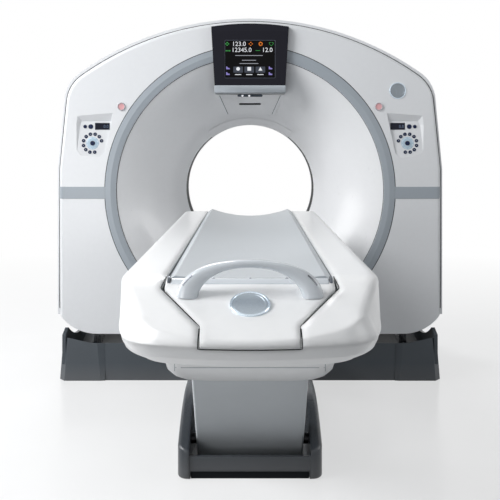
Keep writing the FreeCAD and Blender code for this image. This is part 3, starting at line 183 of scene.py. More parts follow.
class Tree:
    """A node tree, and the one method that adds nodes to it."""

    def __init__(self, owner):
        owner.use_nodes = True
        self.nodes = owner.node_tree.nodes
        self.links = owner.node_tree.links
        self.nodes.clear()

    def node(self, kind, sockets=None, output=0, **settings):
        """Adds a node with these settings, then fills or links its sockets, and gives one of its outputs."""
        made = self.nodes.new(kind)
        for key, value in settings.items():
            setattr(made, key, value)
        for key, value in (sockets or {}).items():
            socket = made.inputs[key]
            if isinstance(value, Flow):
                self.links.new(value.socket, socket)
            elif socket.type == "RGBA":
                socket.default_value = (*value, 1)
            else:
                socket.default_value = value
        return Flow(self, made.outputs[output]) if made.outputs else None

    def place(self):
        """The point on the piece, in metres."""
        return self.node("ShaderNodeTexCoord", output="Object")

    def noise(self, scale, detail=2, stretch=ALL_WAYS):
        """Soft noise of this many grains a metre, drawn out along an axis where stretch is small."""
        point = self.node("ShaderNodeVectorMath", {0: self.place(), 1: stretch}, operation="MULTIPLY")
        return self.node("ShaderNodeTexNoise", {"Vector": point, "Scale": scale, "Detail": detail})

    def axis(self, name):
        return self.node("ShaderNodeSeparateXYZ", {0: self.place()}, name)

    def blend(self, share, first, second):
        """Mixes two colours."""
        return self.node("ShaderNodeMix", {0: share, 6: first, 7: second}, 2, data_type="RGBA")

    def bump(self, height, distance, strength, edge=0.0):
        """Relief for the Normal socket, over edges that are shaded round with this radius."""
        sockets = {"Height": height, "Distance": distance, "Strength": strength}
        if edge:
            sockets["Normal"] = self.node("ShaderNodeBevel", {"Radius": edge}, samples=6)
        return self.node("ShaderNodeBump", sockets)

    def seen(self):
        """1 for what the camera sees straight, in a reflection or through glass."""
        straight, glossy, through = (self.node("ShaderNodeLightPath", output=f"Is {kind} Ray")
                                     for kind in ("Camera", "Glossy", "Transmission"))
        return straight.math("ADD", straight + glossy, through, clamp=True)


def linear(colour):
    """A colour as it is seen, turned into light."""
    return tuple(c / 12.92 if c <= 0.04045 else ((c + 0.055) / 1.055) ** 2.4 for c in colour)


def shade(colour, factor):
    """A colour made darker or lighter."""
    return tuple(min(1, c * factor) for c in colour)


def finish(name, colour, shader):
    """A material from a function that gives a Principled shader's sockets for this colour."""
    material = bpy.data.materials.new(name)
    tree = Tree(material)
    surface = tree.node("ShaderNodeBsdfPrincipled", shader(tree, linear(colour)))
    tree.node("ShaderNodeOutputMaterial", {"Surface": surface})
    return material


def moulded(name, colour, roughness=0.34, coat=0.25, grain=0.00002, edge=0.0, shine=0.5):
    """Moulded and lacquered plastic: broad tone, fine orange peel, and a soft edge."""
    def shader(tree, light):
        broad = tree.noise(1.7, 3)
        fine = tree.noise(46, 3)
        tone = broad.between(0.3, 0.7) * 0.6 + fine.between(0.3, 0.7) * 0.4
        peel = tree.noise(420, 2) + tree.noise(95, 2) * 0.7
        return {
            "Base Color": tree.blend(tone, shade(light, 0.975), shade(light, 1.012)),
            "Roughness": fine.between(0.2, 0.8) * 0.05 + broad.between(0.3, 0.7) * 0.04 + (roughness - 0.045),
            "Coat Weight": coat,
            "Coat Roughness": 0.16,
            "Specular IOR Level": shine,
            "Normal": tree.bump(peel, grain, 0.5, edge),
        }
    return finish(name, colour, shader)


def painted(name, colour, roughness=0.42, grain=0.00006, scuffs=0.25, coat=0.05, edge=0.003):
    """Powder coat on metal: pebbled, a little duller near the floor, with faint scuffs."""
    def shader(tree, light):
        pebble = tree.noise(560, 3)
        cloud = tree.noise(3.2, 4)
        scuff = tree.noise(24, 5, (1, 0.16, 1)).between(0.62, 0.8) * tree.noise(5, 2).between(0.45, 0.65)
        low = 1 - tree.axis("Z").between(0.0, 0.09)
        body = tree.blend(cloud.between(0.25, 0.75), shade(light, 0.94), shade(light, 1.06))
        worn = tree.blend(scuff * scuffs, body, shade(light, 1.7))
        return {
            "Base Color": tree.blend(low * 0.18, worn, (0.30, 0.29, 0.28)),
            "Roughness": pebble.between(0.2, 0.8) * 0.06 + scuff * 0.12 + low * 0.1 + (roughness - 0.03),
            "Coat Weight": coat,
            "Coat Roughness": 0.22,
            "Specular IOR Level": 0.3,
            "Normal": tree.bump(pebble, grain, 0.6, edge),
        }
    return finish(name, colour, shader)


def metal(name, colour, roughness=0.3, stretch=(1, 1, 0.03), grains=900):
    """Brushed or turned metal with streaks along one axis."""
    def shader(tree, light):
        streak = tree.noise(grains, 2, stretch)
        cloud = tree.noise(9, 3).between(0.3, 0.7)
        return {
            "Base Color": tree.blend(streak.between(0.25, 0.75), shade(light, 0.86), shade(light, 1.1)),
            "Metallic": 1.0,
            "Roughness": streak.between(0.2, 0.8) * 0.12 + cloud * 0.06 + (roughness - 0.08),
            "Normal": tree.bump(streak, 0.00001, 0.5),
        }
    return finish(name, colour, shader)


def glowing(name, colour, strength=1.0):
    """Lit marks on a display, a little uneven as behind a pixel grid."""
    def shader(tree, light):
        grid = (tree.axis("X") * 5200).wave() * (tree.axis("Z") * 5200).wave()
        return {
            "Base Color": (0.01, 0.01, 0.012),
            "Roughness": 0.2,
            "Emission Color": tree.blend(grid.between(-1, 1), shade(light, 0.82), shade(light, 1.0)),
            "Emission Strength": strength,
            "Specular IOR Level": 0.1,
        }
    return finish(name, colour, shader)


def smoked_glass(name, colour, roughness=0.08, shine=0.15):
    """A dark glass front with faint smears."""
    def shader(tree, light):
        smear = tree.noise(16, 4, (1, 1, 0.4))
        return {
            "Base Color": tree.blend(smear.between(0.3, 0.7), shade(light, 0.8), shade(light, 1.25)),
            "Roughness": smear.between(0.3, 0.8) * 0.1 + roughness,
            "Specular IOR Level": shine,
        }
    return finish(name, colour, shader)


# ---------------------------------------------------------------- meshes


def new_piece(name, mesh, body, material, sharp=35):
    """A piece from a bmesh, shaded smooth but for edges sharper than the angle, that rides on a body."""
    data = bpy.data.meshes.new(name)
    bmesh.ops.recalc_face_normals(mesh, faces=mesh.faces)
    mesh.to_mesh(data)
    mesh.free()
    data.shade_smooth()
    data.set_sharp_from_angle(angle=math.radians(sharp))
    data.materials.append(material)
    item = bpy.data.objects.new(name, data)
    bpy.context.scene.collection.objects.link(item)
    if body:
        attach(item, body)
    return item


def face_loops(mesh, loops, closed=False):
    """Skins a row of equal loops of points with quads, and caps both ends of a row that isn't closed."""
    rows = [[mesh.verts.new(p) for p in loop] for loop in loops]
    count = len(rows[0])
    for near, far in zip(rows, rows[1:] + rows[:1] if closed else rows[1:]):
        for i in range(count):
            j = (i + 1) % count
            mesh.faces.new((near[i], near[j], far[j], far[i]))
    if not closed:
        mesh.faces.new(rows[0])
        mesh.faces.new(rows[-1])
    return mesh


def circle(radius, count):
    """Points round the origin, from the first axis towards the second."""
    angles = [2 * math.pi * n / count for n in range(count)]
    return [(radius * math.cos(a), radius * math.sin(a)) for a in angles]


def turned(mesh, profile, spot, out, segments, tube=False):
    """Turns (radius, height) points about an axis through spot along out; a tube's ends meet."""
    turn = out.to_track_quat("Z", "Y").to_matrix()
    loops = []
    for radius, height in profile:
        loops.append([spot + turn @ Vector((*point, height)) for point in circle(radius, segments)])
    return face_loops(mesh, loops, closed=tube)


def moved(x, y, z):
    return Matrix.Translation((x, y, z))


def tile(mesh, corners, thick, matrix, bevel=0.0):
    """A flat tile drawn in X and Z, its face towards -Y, with rounded front edges."""
    made = bmesh.new()
    face = made.faces.new([made.verts.new((x, 0, z)) for x, z in corners])
    back = bmesh.ops.extrude_face_region(made, geom=[face])["geom"]
    bmesh.ops.translate(made, verts=[v for v in back if isinstance(v, bmesh.types.BMVert)], vec=(0, thick, 0))
    bmesh.ops.recalc_face_normals(made, faces=made.faces)
    if bevel:
        edges = [e for e in made.edges if all(abs(v.co.y) < 1e-7 for v in e.verts)]
        bmesh.ops.bevel(made, geom=edges, offset=bevel, segments=2, affect="EDGES", profile=0.5)
    add_mesh(mesh, made, matrix)


def band(mesh, outer, inner, thick, matrix):
    """Tiles that fill the band between two outlines with equally many corners."""
    for n in range(len(outer)):
        m = (n + 1) % len(outer)
        tile(mesh, [outer[n], outer[m], inner[m], inner[n]], thick, matrix)


def add_mesh(mesh, other, matrix):
    """Empties a bmesh into another one, through a matrix."""
    other.transform(matrix)
    spare = bpy.data.meshes.new("spare")
    other.to_mesh(spare)
    other.free()
    mesh.from_mesh(spare)
    bpy.data.meshes.remove(spare)


def rounded(half_x, half_z, radius, steps=5):
    """A rectangle with round corners, about the origin."""
    corners = []
    for turn, (sx, sz) in enumerate(((1, 1), (-1, 1), (-1, -1), (1, -1))):
        for n in range(steps + 1):
            a = math.pi / 2 * (turn + n / steps)
            corners.append((
                sx * (half_x - radius) + radius * math.cos(a), sz * (half_z - radius) + radius * math.sin(a)))
    return corners


def landing(node, start, direction):
    """Where a line from start meets a node, and which way the surface faces there."""
    if node not in surfaces:
        data = nodes[node].data
        surfaces[node] = BVHTree.FromPolygons(
            [v.co for v in data.vertices], [p.vertices[:] for p in data.polygons])
    point, normal = surfaces[node].ray_cast(Vector(start), Vector(direction))[:2]
    if point is None:
        raise RuntimeError(f"a line from {tuple(start)} misses {node}")
    return point, normal if normal.dot(Vector(direction)) < 0 else -normal


def front_of(node, x, z):
    """The landing of a line that comes from well before the table."""
    return landing(node, (x, -4, z), AHEAD)


def top_of(node, x, y):
    """The landing of a line that comes from above the table."""
    return landing(node, (x, y, 1.2), -UP)


def strip_section(point, side, normal, above, below):
    """The corners of a strip's section."""
    return [point + side + normal * above, point - side + normal * above,
            point - side - normal * below, point + side - normal * below]


def ribbon(mesh, spots, half, above, below):
    """A strip along (point, normal) spots: so wide to each side, so high above the surface and deep below."""
    loops = []
    for n, (point, normal) in enumerate(spots):
        ahead = spots[min(n + 1, len(spots) - 1)][0]
        behind = spots[max(n - 1, 0)][0]
        side = (ahead - behind).cross(normal).normalized() * half
        loops.append(strip_section(point, side, normal, above, below))
    return face_loops(mesh, loops)


def numerals(mesh, text, size, matrix, thick=0.0004):
    """Numerals as a flat mesh, in X and Z."""
    curve = bpy.data.curves.new("numerals", "FONT")
    curve.body = text
    curve.size = size
    curve.extrude = thick
    curve.resolution_u = 3
    holder = bpy.data.objects.new("numerals", curve)
    bpy.context.scene.collection.objects.link(holder)
    data = bpy.data.meshes.new_from_object(holder.evaluated_get(bpy.context.evaluated_depsgraph_get()))
    made = bmesh.new()
    made.from_mesh(data)
    add_mesh(mesh, made, matrix @ Matrix.Rotation(math.pi / 2, 4, "X"))
    bpy.data.objects.remove(holder)
    bpy.data.curves.remove(curve)
    bpy.data.meshes.remove(data)


def dress(material, *names):
    """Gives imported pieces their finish."""
    for name in names:
        slots = nodes[name].data.materials
        slots.clear()
        slots.append(material)


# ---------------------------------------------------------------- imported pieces: finishes


class SCANNER_OT_covers(Operator):
    """Finishes the covers, the funnels, the trim, the scan window, the ring and the stripes"""

    bl_idname = "scanner.covers"
    bl_label = "Covers"

    def execute(self, context):
        colours = context.scene.scanner_colours
        white = moulded("cover white", colours.cover, edge=0.003)
        dress(white, "front_cover", "rear_cover", "top_cover_left", "top_cover_right", "side_cover_left",
              "side_cover_right")
        # The table's white is painted lighter than the gantry's, as painted light.
        shell = moulded("table white painted lighter", colours.shell, edge=0.03)
        dress(shell, "upper_shell", "cradle_end_block", "belly_pan")
        satin = moulded("funnel satin", colours.funnel, roughness=0.3, coat=0.4)
        dress(satin, "front_funnel", "rear_funnel")
        trim = moulded("funnel trim", colours.funnel, roughness=0.36, edge=0.002)
        dress(trim, "funnel_trim", "throat_lens")
        ring = moulded("ring grey", colours.ring, roughness=0.38, coat=0.2, edge=0.002)
        dress(ring, "ring_trim", "belt_stripes")
        dress(smoked_glass("scan window film", (0.17, 0.18, 0.19), 0.5, shine=0.05), "scan_window")
        for side, sign in SIDES:
            self.wrap_stripe(side, sign, ring)
        return {"FINISHED"}

    def wrap_stripe(self, side, sign, ring):
        """Carries a stripe on over the rounded rim of the front cover."""
        low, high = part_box("belt_stripes")
        middle, half = (low.z + high.z) / 2, (high.z - low.z) / 2
        rim, rim_end = Vector((sign * 0.962, -0.384, middle)), -0.3915
        spots = [front_of("front_cover", sign * 0.957, middle)]
        step, outside = 12, 0.1
        for n in range(8):
            turn = math.radians(step * n)
            out = Vector((sign * math.sin(turn), -math.cos(turn), 0))
            point, normal = landing("front_cover", rim + out * outside, -out)
            if point.y < rim_end:
                spots.append((point, normal))
        mesh = ribbon(bmesh.new(), spots, half, 0.0016, 0.001)
        new_piece(f"stripe_end_{side}", mesh, "gantry", ring)


class SCANNER_OT_bases(Operator):
    """Finishes the floor bases, the tub, the legs and the leg sheet, and adds shaft caps and a toe strip"""

    bl_idname = "scanner.bases"
    bl_label = "Bases and legs"

    def execute(self, context):
        colours = context.scene.scanner_colours
        dark = painted("base paint", colours.base)
        dress(dark, "gantry_base", "base_end_left", "base_end_right")
        tub = painted("tub paint", colours.tub, roughness=0.28, grain=0.00003, scuffs=0.12, coat=0.4,
                      edge=0.014)
        dress(tub, "table_base")
        arms = painted("arm paint", shade(colours.base, 0.5), roughness=0.5)
        dress(arms, "front_leg", "rear_leg", "table_frame")
        # The leg sheet's colour carries painted light against the table's shadow.
        sheet = painted("leg sheet paint with painted light", colours.sheet, roughness=0.46, grain=0.00004, scuffs=0.08,
                        edge=0.006)
        dress(sheet, "leg_panel")
        self.shaft_caps(dark)
        # The toe strip's black is partly a rubber strip and partly painted shade in the recess.
        self.toe_strip(moulded("toe rubber and recess shade", (0.10, 0.11, 0.12), roughness=0.7, coat=0, shine=0.1))
        return {"FINISHED"}

    def toe_strip(self, rubber):
        """A black strip in the recess under the front bar of the tub: rubber, and painted shade for the
        recess.
        """
        front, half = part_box("table_base")[0].y, 0.2135
        section = [(0.014, 0.0004), (0.014, 0.0040), (0.017, 0.0050), (0.017, 0.0255), (0.024, 0.0262),
                   (0.036, 0.0262), (0.036, 0.0004)]
        loops = [[Vector((x, front + y, z)) for y, z in section] for x in (-half, half)]
        new_piece("toe_strip", face_loops(bmesh.new(), loops), "floor_stand", rubber)

    def shaft_caps(self, dark):
        """Domed caps over the ends of the foot shafts, on the outside of the tub."""
        low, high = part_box("foot_shafts")
        edge, shaft_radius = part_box("table_base")[1].x, 0.02
        dome = [(0.030, -0.001), (0.030, 0.0022), (0.0285, 0.0036), (0.024, 0.0042), (0.023, 0.0034),
                (0.010, 0.0040), (0.003, 0.0041)]
        for end, along in (("front", low.y + shaft_radius), ("rear", high.y - shaft_radius)):
            for side, sign in SIDES:
                middle = Vector((sign * edge, along, (low.z + high.z) / 2))
                mesh = turned(bmesh.new(), dome, middle, Vector((sign, 0, 0)), 48)
                new_piece(f"shaft_cap_{end}_{side}", mesh, "floor_stand", dark)


class SCANNER_OT_table(Operator):
    """Finishes the cradle board, the tray under it, the rails, the shafts and the carriages"""

    bl_idname = "scanner.table"
    bl_label = "Table"

    def execute(self, context):
        colours = context.scene.scanner_colours
        board = moulded("cradle board", colours.cradle, roughness=0.42, coat=0.1, grain=0.00004, edge=0.002)
        dress(board, "cradle")
        dress(moulded("tray grey", shade(colours.cradle, 0.7), roughness=0.5, coat=0), "table_deck")
        dress(metal("rail steel", (0.74, 0.75, 0.77), 0.28, (1, 0.02, 1)), "guide_rails", "table_shafts")
        dress(metal("blackened steel", (0.20, 0.20, 0.21), 0.4, (0.02, 1, 1)), "foot_shafts")
        dress(metal("carriage alloy", (0.78, 0.79, 0.81), 0.34, (0.05, 1, 1)), "cradle_carriages")
        return {"FINISHED"}


class SCANNER_OT_works(Operator):
    """Finishes the tilt frame, the rotor and the units on it"""

    bl_idname = "scanner.works"
    bl_label = "Inner works"

    def execute(self, context):
        dress(painted("cast frame paint", (0.40, 0.42, 0.45), roughness=0.55, grain=0.0002), "tilt_frame",
              "drive_motor")
        dress(painted("unit paint", (0.66, 0.68, 0.70), roughness=0.4), "cover_brackets", "xray_tube",
              "generator")
        dress(metal("machined alloy", (0.80, 0.81, 0.83), 0.32), "rotor_drum", "cooler")
        dress(metal("bearing steel", (0.72, 0.73, 0.75), 0.24), "bearing_outer_race", "bearing_inner_race",
              "motor_pulley", "tilt_shoe_left", "tilt_shoe_right")
        dress(metal("slip ring copper", (0.80, 0.55, 0.36), 0.26), "slip_ring")
        dress(moulded("black moulding", (0.16, 0.17, 0.19), roughness=0.5, coat=0), "brush_block", "detector")
        dress(moulded("belt rubber", (0.11, 0.11, 0.11), roughness=0.8, coat=0, grain=0.0002), "drive_belt")
        return {"FINISHED"}


class SCANNER_OT_controls(Operator):
    """Finishes the control plates, keys and lamps, and adds dials, marks, readings and lamp rims"""

    bl_idname = "scanner.controls"
    bl_label = "Control panels"

    def execute(self, context):
        colours = context.scene.scanner_colours
        plate = moulded("control plate", shade(colours.cover, 0.985), roughness=0.3, coat=0.3, edge=0.001)
        dress(plate, "control_plate_left", "control_plate_right")
        keys = moulded("key blue", colours.key, roughness=0.5, coat=0, shine=0.2)
        dress(keys, "ring_keys")
        for kind in ("centre", "round", "small"):
            dress(keys, f"{kind}_button_left", f"{kind}_button_right")
        dress(smoked_glass("small display glass", (0.10, 0.11, 0.16)), "panel_displays")
        dress(moulded("lamp lens", colours.lamp, roughness=0.2, coat=0.6), "exposure_lamps")
        dial = moulded("dial blue", colours.dial, roughness=0.4)
        pale = moulded("panel print", (0.90, 0.93, 0.96), roughness=0.5, coat=0)
        lit = glowing("small display reading", (0.42, 0.48, 0.58), 0.8)
        rim = moulded("lamp rim", (0.74, 0.72, 0.74), roughness=0.3)
        for side, sign in SIDES:
            spot = moved(sign * DIAL.x, DIAL.y, DIAL.z) @ Matrix.Rotation(-DIAL_LEAN, 4, "X")
            self.dial(side, spot, dial, pale)
            self.marks(side, sign, spot, pale)
            self.reading(side, sign, spot, lit)
            self.lamp_rim(side, sign, rim)
        return {"FINISHED"}

    def dial(self, side, spot, dial, pale):
        """The pale ring round the centre key, with eight curved marks on it."""
        profile = [(0.0135, 0.0002), (0.0325, 0.0002), (0.0335, -0.0004), (0.0335, -0.003), (0.0135, -0.003)]
        mesh = turned(bmesh.new(), profile, Vector(), -AHEAD, 72, tube=True)
        mesh.transform(spot)
        new_piece(f"dial_{side}", mesh, "gantry", dial)
        mesh = bmesh.new()
        outer, inner, first, length = 0.0285, 0.0265, 8, 29
        for n in range(8):
            angles = [math.radians(45 * n + first + length * k / 6) for k in range(7)]
            arc = [(outer * math.cos(a), outer * math.sin(a)) for a in angles]
            arc += [(inner * math.cos(a), inner * math.sin(a)) for a in reversed(angles)]
            tile(mesh, arc, 0.001, moved(0, -0.0004, 0))
        mesh.transform(spot)
        new_piece(f"dial_marks_{side}", mesh, "gantry", pale)

    def marks(self, side, sign, spot, pale):
        """A small arrowhead on each flat key of the ring."""
        mesh = bmesh.new()
        radius, first, arrow = 0.048, 14.6, [(0.0022, 0), (-0.0015, 0.0019), (-0.0015, -0.0019)]
        for n in range(10):
            a = math.radians(first + 30 * n)
            key = moved(radius * math.cos(a) * -sign, -0.0022, radius * math.sin(a))
            tile(mesh, arrow, 0.0006, key @ Matrix.Rotation(a if sign < 0 else math.pi - a, 4, "Y"))
        mesh.transform(spot)
        new_piece(f"key_marks_{side}", mesh, "gantry", pale)

    def reading(self, side, sign, spot, lit):
        mesh = bmesh.new()
        display, height, nudge = -sign * 0.0495, 0.0795, 0.006
        numerals(mesh, "0.0", 0.022, spot @ moved(display + nudge, -0.0017, height), 0.0001)
        new_piece(f"panel_reading_{side}", mesh, "gantry", lit)

    def lamp_rim(self, side, sign, rim):
        """A thin bezel round each lamp."""
        low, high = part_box("exposure_lamps")
        lamp_radius = 0.018
        profile = [(0.0160, 0.0012), (0.0160, 0.0032), (0.0178, 0.0045), (0.0205, 0.0030), (0.0212, -0.004),
                   (0.0160, -0.004)]
        middle = Vector((sign * (high.x - lamp_radius), low.y, (low.z + high.z) / 2))
        mesh = turned(bmesh.new(), profile, middle, -AHEAD, 64, tube=True)
        new_piece(f"lamp_rim_{side}", mesh, "gantry", rim)


# ---------------------------------------------------------------- display


class SCANNER_OT_display(Operator):
    """Finishes the display, draws plain numbers and signs on it, and adds the chin and the trim's details"""

    bl_idname = "scanner.display"
    bl_label = "Display"

    def execute(self, context):
        colours = context.scene.scanner_colours
        dress(moulded("housing plastic", colours.housing, roughness=0.35, coat=0, edge=0.005, shine=0.15),
              "display_housing")
        dress(smoked_glass("screen glass", (0.03, 0.03, 0.035), 0.12, shine=0.08), "display_screen")
        self.low, self.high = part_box("display_screen")
        white = glowing("screen white", SCREEN_WHITE)
        green = glowing("screen green", (0.22, 0.60, 0.28))
        amber = glowing("screen amber", (0.90, 0.48, 0.10))
        violet = glowing("screen violet", (0.56, 0.52, 0.80))
        grey = glowing("screen grey", (0.24, 0.26, 0.30))
        self.numbers(white, glowing("screen dim", (0.62, 0.63, 0.66)))
        self.signs(green, amber)
        self.keys(grey, white, violet)
        self.frame_line()
        self.chin(moulded("chin grey", colours.chin, roughness=0.36, coat=0.2))
        self.slots()
        # Near-white beads as a painted highlight along the trim's edges, and dark strips of painted shade
        # beside them.
        self.trim_highlight_beads(moulded("trim highlight bead", (0.97, 0.98, 0.99), roughness=0.2, coat=0.6),
                        moulded("trim shade line", shade(colours.ring, 0.55), roughness=0.5, coat=0))
        return {"FINISHED"}

    def on_screen(self, u, v):
        """A place on the screen from shares of its width and height, from the upper left."""
        x = self.low.x + (self.high.x - self.low.x) * u
        z = self.high.z - (self.high.z - self.low.z) * v
        return moved(x, self.low.y - 0.0005, z)

    def shape(self, mesh, corners, u, v):
        tile(mesh, corners, 0.0004, self.on_screen(u, v))

    def sign(self, mesh, points, u, v, inner):
        """A sign as a closed line, from its points inwards to this share of them."""
        band(mesh, points, [(x * inner, z * inner) for x, z in points], 0.0004, self.on_screen(u, v))

    def show(self, name, mesh, material):
        new_piece(f"screen_{name}", mesh, "gantry", material)

    def numbers(self, white, dim):
        """Three numbers, and three plain lines between them and the keys."""
        numbers, lines = bmesh.new(), bmesh.new()
        for text, u, v in (("123.0", 0.145, 0.155), ("12345.0", 0.135, 0.312), ("12.0", 0.735, 0.312)):
            numerals(numbers, text, 0.0320, self.on_screen(u, v))
        self.show("numbers", numbers, white)
        for v, half in ((0.405, 0.070), (0.53, 0.036), (0.615, 0.048)):
            self.shape(lines, rounded(half, 0.0016, 0.0008, 2), 0.48, v)
        self.show("lines", lines, dim)

    def signs(self, green, amber):
        """A cross, a heart and a cog as closed lines, and small bars and a four-way arrow."""
        arm = 0.0032
        cross = [(x * arm, z * arm) for x, z in (
            (1, 1), (1, 3), (-1, 3), (-1, 1), (-3, 1), (-3, -1), (-1, -1), (-1, -3), (1, -3), (1, -1),
            (3, -1), (3, 1))]
        heart, count, size = [], 28, 0.00074
        for t in (2 * math.pi * n / count for n in range(count)):
            high = 13 * math.cos(t) - 5 * math.cos(2 * t) - 2 * math.cos(3 * t) - math.cos(4 * t)
            heart.append((size * 16 * math.sin(t) ** 3, size * high))
        mesh = bmesh.new()
        self.sign(mesh, cross, 0.05, 0.10, 0.55)
        self.sign(mesh, heart, 0.92, 0.10, 0.8)
        for n in range(3):
            self.shape(mesh, rounded(0.0028, 0.0035, 0.001, 2), 0.03 + 0.035 * n, 0.28)
        self.shape(mesh, rounded(0.012, 0.0012, 0.0008, 2), 0.655, 0.275)
        self.show("signs_green", mesh, green)
        mesh = bmesh.new()
        tip = [(0.0115, 0), (0.0055, 0.0042), (0.0055, -0.0042)]
        for cos, sin in circle(1, 4):
            self.shape(mesh, [(x * cos - z * sin, x * sin + z * cos) for x, z in tip], 0.515, 0.10)
        cog = []
        for n, (cos, sin) in enumerate(circle(1, 32)):
            radius = 0.0115 if n % 4 < 2 else 0.0088
            cog.append((radius * cos, radius * sin))
        self.sign(mesh, cog, 0.71, 0.10, 0.55)
        self.show("signs_amber", mesh, amber)

    def keys(self, grey, white, violet):
        """Three grey touch keys with plain signs, and a pair of small violet ones at each side."""
        keys, signs, side_keys = bmesh.new(), bmesh.new(), bmesh.new()
        for u, sign in ((0.265, circle(0.0095, 20)), (0.485, rounded(0.0095, 0.0095, 0.002)),
                        (0.705, [(-0.010, -0.009), (0.010, -0.009), (0.0, 0.010)])):
            self.shape(keys, rounded(0.0245, 0.0155, 0.003), u, 0.775)
            for v, corners in ((0.755, sign), (0.905, rounded(0.016, 0.0018, 0.001, 2))):
                tile(signs, corners, 0.0003, self.on_screen(u, v) @ moved(0, -0.0003, 0))
        self.show("keys", keys, grey)
        self.show("key_signs", signs, white)
        corners = [(-0.009, -0.007), (0.009, -0.007), (0.009, -0.001), (-0.001, 0.001), (-0.004, 0.007),
                   (-0.009, 0.007)]
        for u in (0.065, 0.905):
            for v in (0.73, 0.88):
                self.shape(side_keys, corners, u, v)
        self.show("side_keys", side_keys, violet)

    def frame_line(self):
        """The thin grey line where the glass meets the housing."""
        middle, half, wide = (self.low + self.high) / 2, (self.high - self.low) / 2, 0.0022
        outer, inner = rounded(half.x, half.z, 0.004), rounded(half.x - wide, half.z - wide, 0.003)
        mesh = bmesh.new()
        band(mesh, outer, inner, 0.0012, moved(middle.x, self.low.y - 0.0012, middle.z))
        bezel = moulded("bezel grey", (0.30, 0.32, 0.37), roughness=0.25, coat=0, shine=0.3)
        new_piece("screen_bezel", mesh, "gantry", bezel)

    def chin(self, grey):
        """The grey lip that closes the housing below the display."""
        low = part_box("display_housing")[0]
        half, top, under, draft = 0.1823, 1.5094, low.z - 0.0008, 0.0016
        section = [(low.y - 0.0008, top), (low.y - 0.0012, top - 0.003), (low.y + 0.0125, under + 0.003),
                   (low.y + 0.0160, under), (low.y + 0.060, under), (low.y + 0.060, top)]
        loops = []
        for x, draw in ((-half, draft), (draft - half, 0), (half - draft, 0), (half, draft)):
            loops.append([Vector((x, y + draw * (y < low.y + 0.05), z)) for y, z in section])
        new_piece("display_chin", face_loops(bmesh.new(), loops), "gantry", grey)

    def slots(self):
        """The two dark slots and the two small lights in the trim below the display."""
        lights_height = 1.4665
        slate = smoked_glass("sensor window", (0.33, 0.36, 0.40), 0.3)
        black = smoked_glass("slot black", (0.10, 0.11, 0.12), 0.4)
        for name, z, half, high, glass in (("sensor_slot", lights_height, 0.067, 0.0075, slate),
                                           ("speaker_slot", 1.4245, 0.059, 0.0060, black)):
            rows = []
            for n in range(25):
                x = half * (n / 12 - 1)
                point, normal = front_of("funnel_trim", x, z)
                up = (UP - normal * normal.z).normalized()
                past = max(0, (abs(x) - half + high) / high)      # how far into the round end
                reach = high * min(1, math.sqrt(max(0, 1 - past ** 2)) + 0.25)
                rows.append(strip_section(point, up * reach, normal, 0.0008, 0.002))
            new_piece(name, face_loops(bmesh.new(), rows), "gantry", glass)
        mesh = bmesh.new()
        lens = [(0.0062, 0.0), (0.0056, 0.0014), (0.0028, 0.0020)]
        for x in (-0.040, -0.004):
            point, normal = front_of("funnel_trim", x, lights_height)
            turned(mesh, lens, point + normal * 0.0006, normal, 24)
        new_piece("sensor_lights", mesh, "gantry", glowing("sensor light", SCREEN_WHITE))

    def trim_highlight_beads(self, white, grey):
        """Raised beads down both sides of the trim below the display, painted white as a highlight, and
        painted shade beside each.
        """
        top, foot = Vector((0.165, 0, 1.466)), Vector((0.123, 0, 1.372))
        for name, aside, wide, high, material, slot in (
                ("trim_highlight_beads", 0.0, 0.0030, 0.0030, white, "white_plastic"),
                ("trim_shade_lines", 0.0045, 0.0013, 0.0012, grey, "grey_plastic")):
            mesh = bmesh.new()
            for sign in (-1, 1):
                line = [top.lerp(foot, n / 16) for n in range(17)]
                spots = [front_of("funnel_trim", sign * (spot.x - aside), spot.z) for spot in line]
                ribbon(mesh, spots, wide, high, 0.002)
            new_piece(name, mesh, "gantry", material)


# ---------------------------------------------------------------- details that ride on the covers


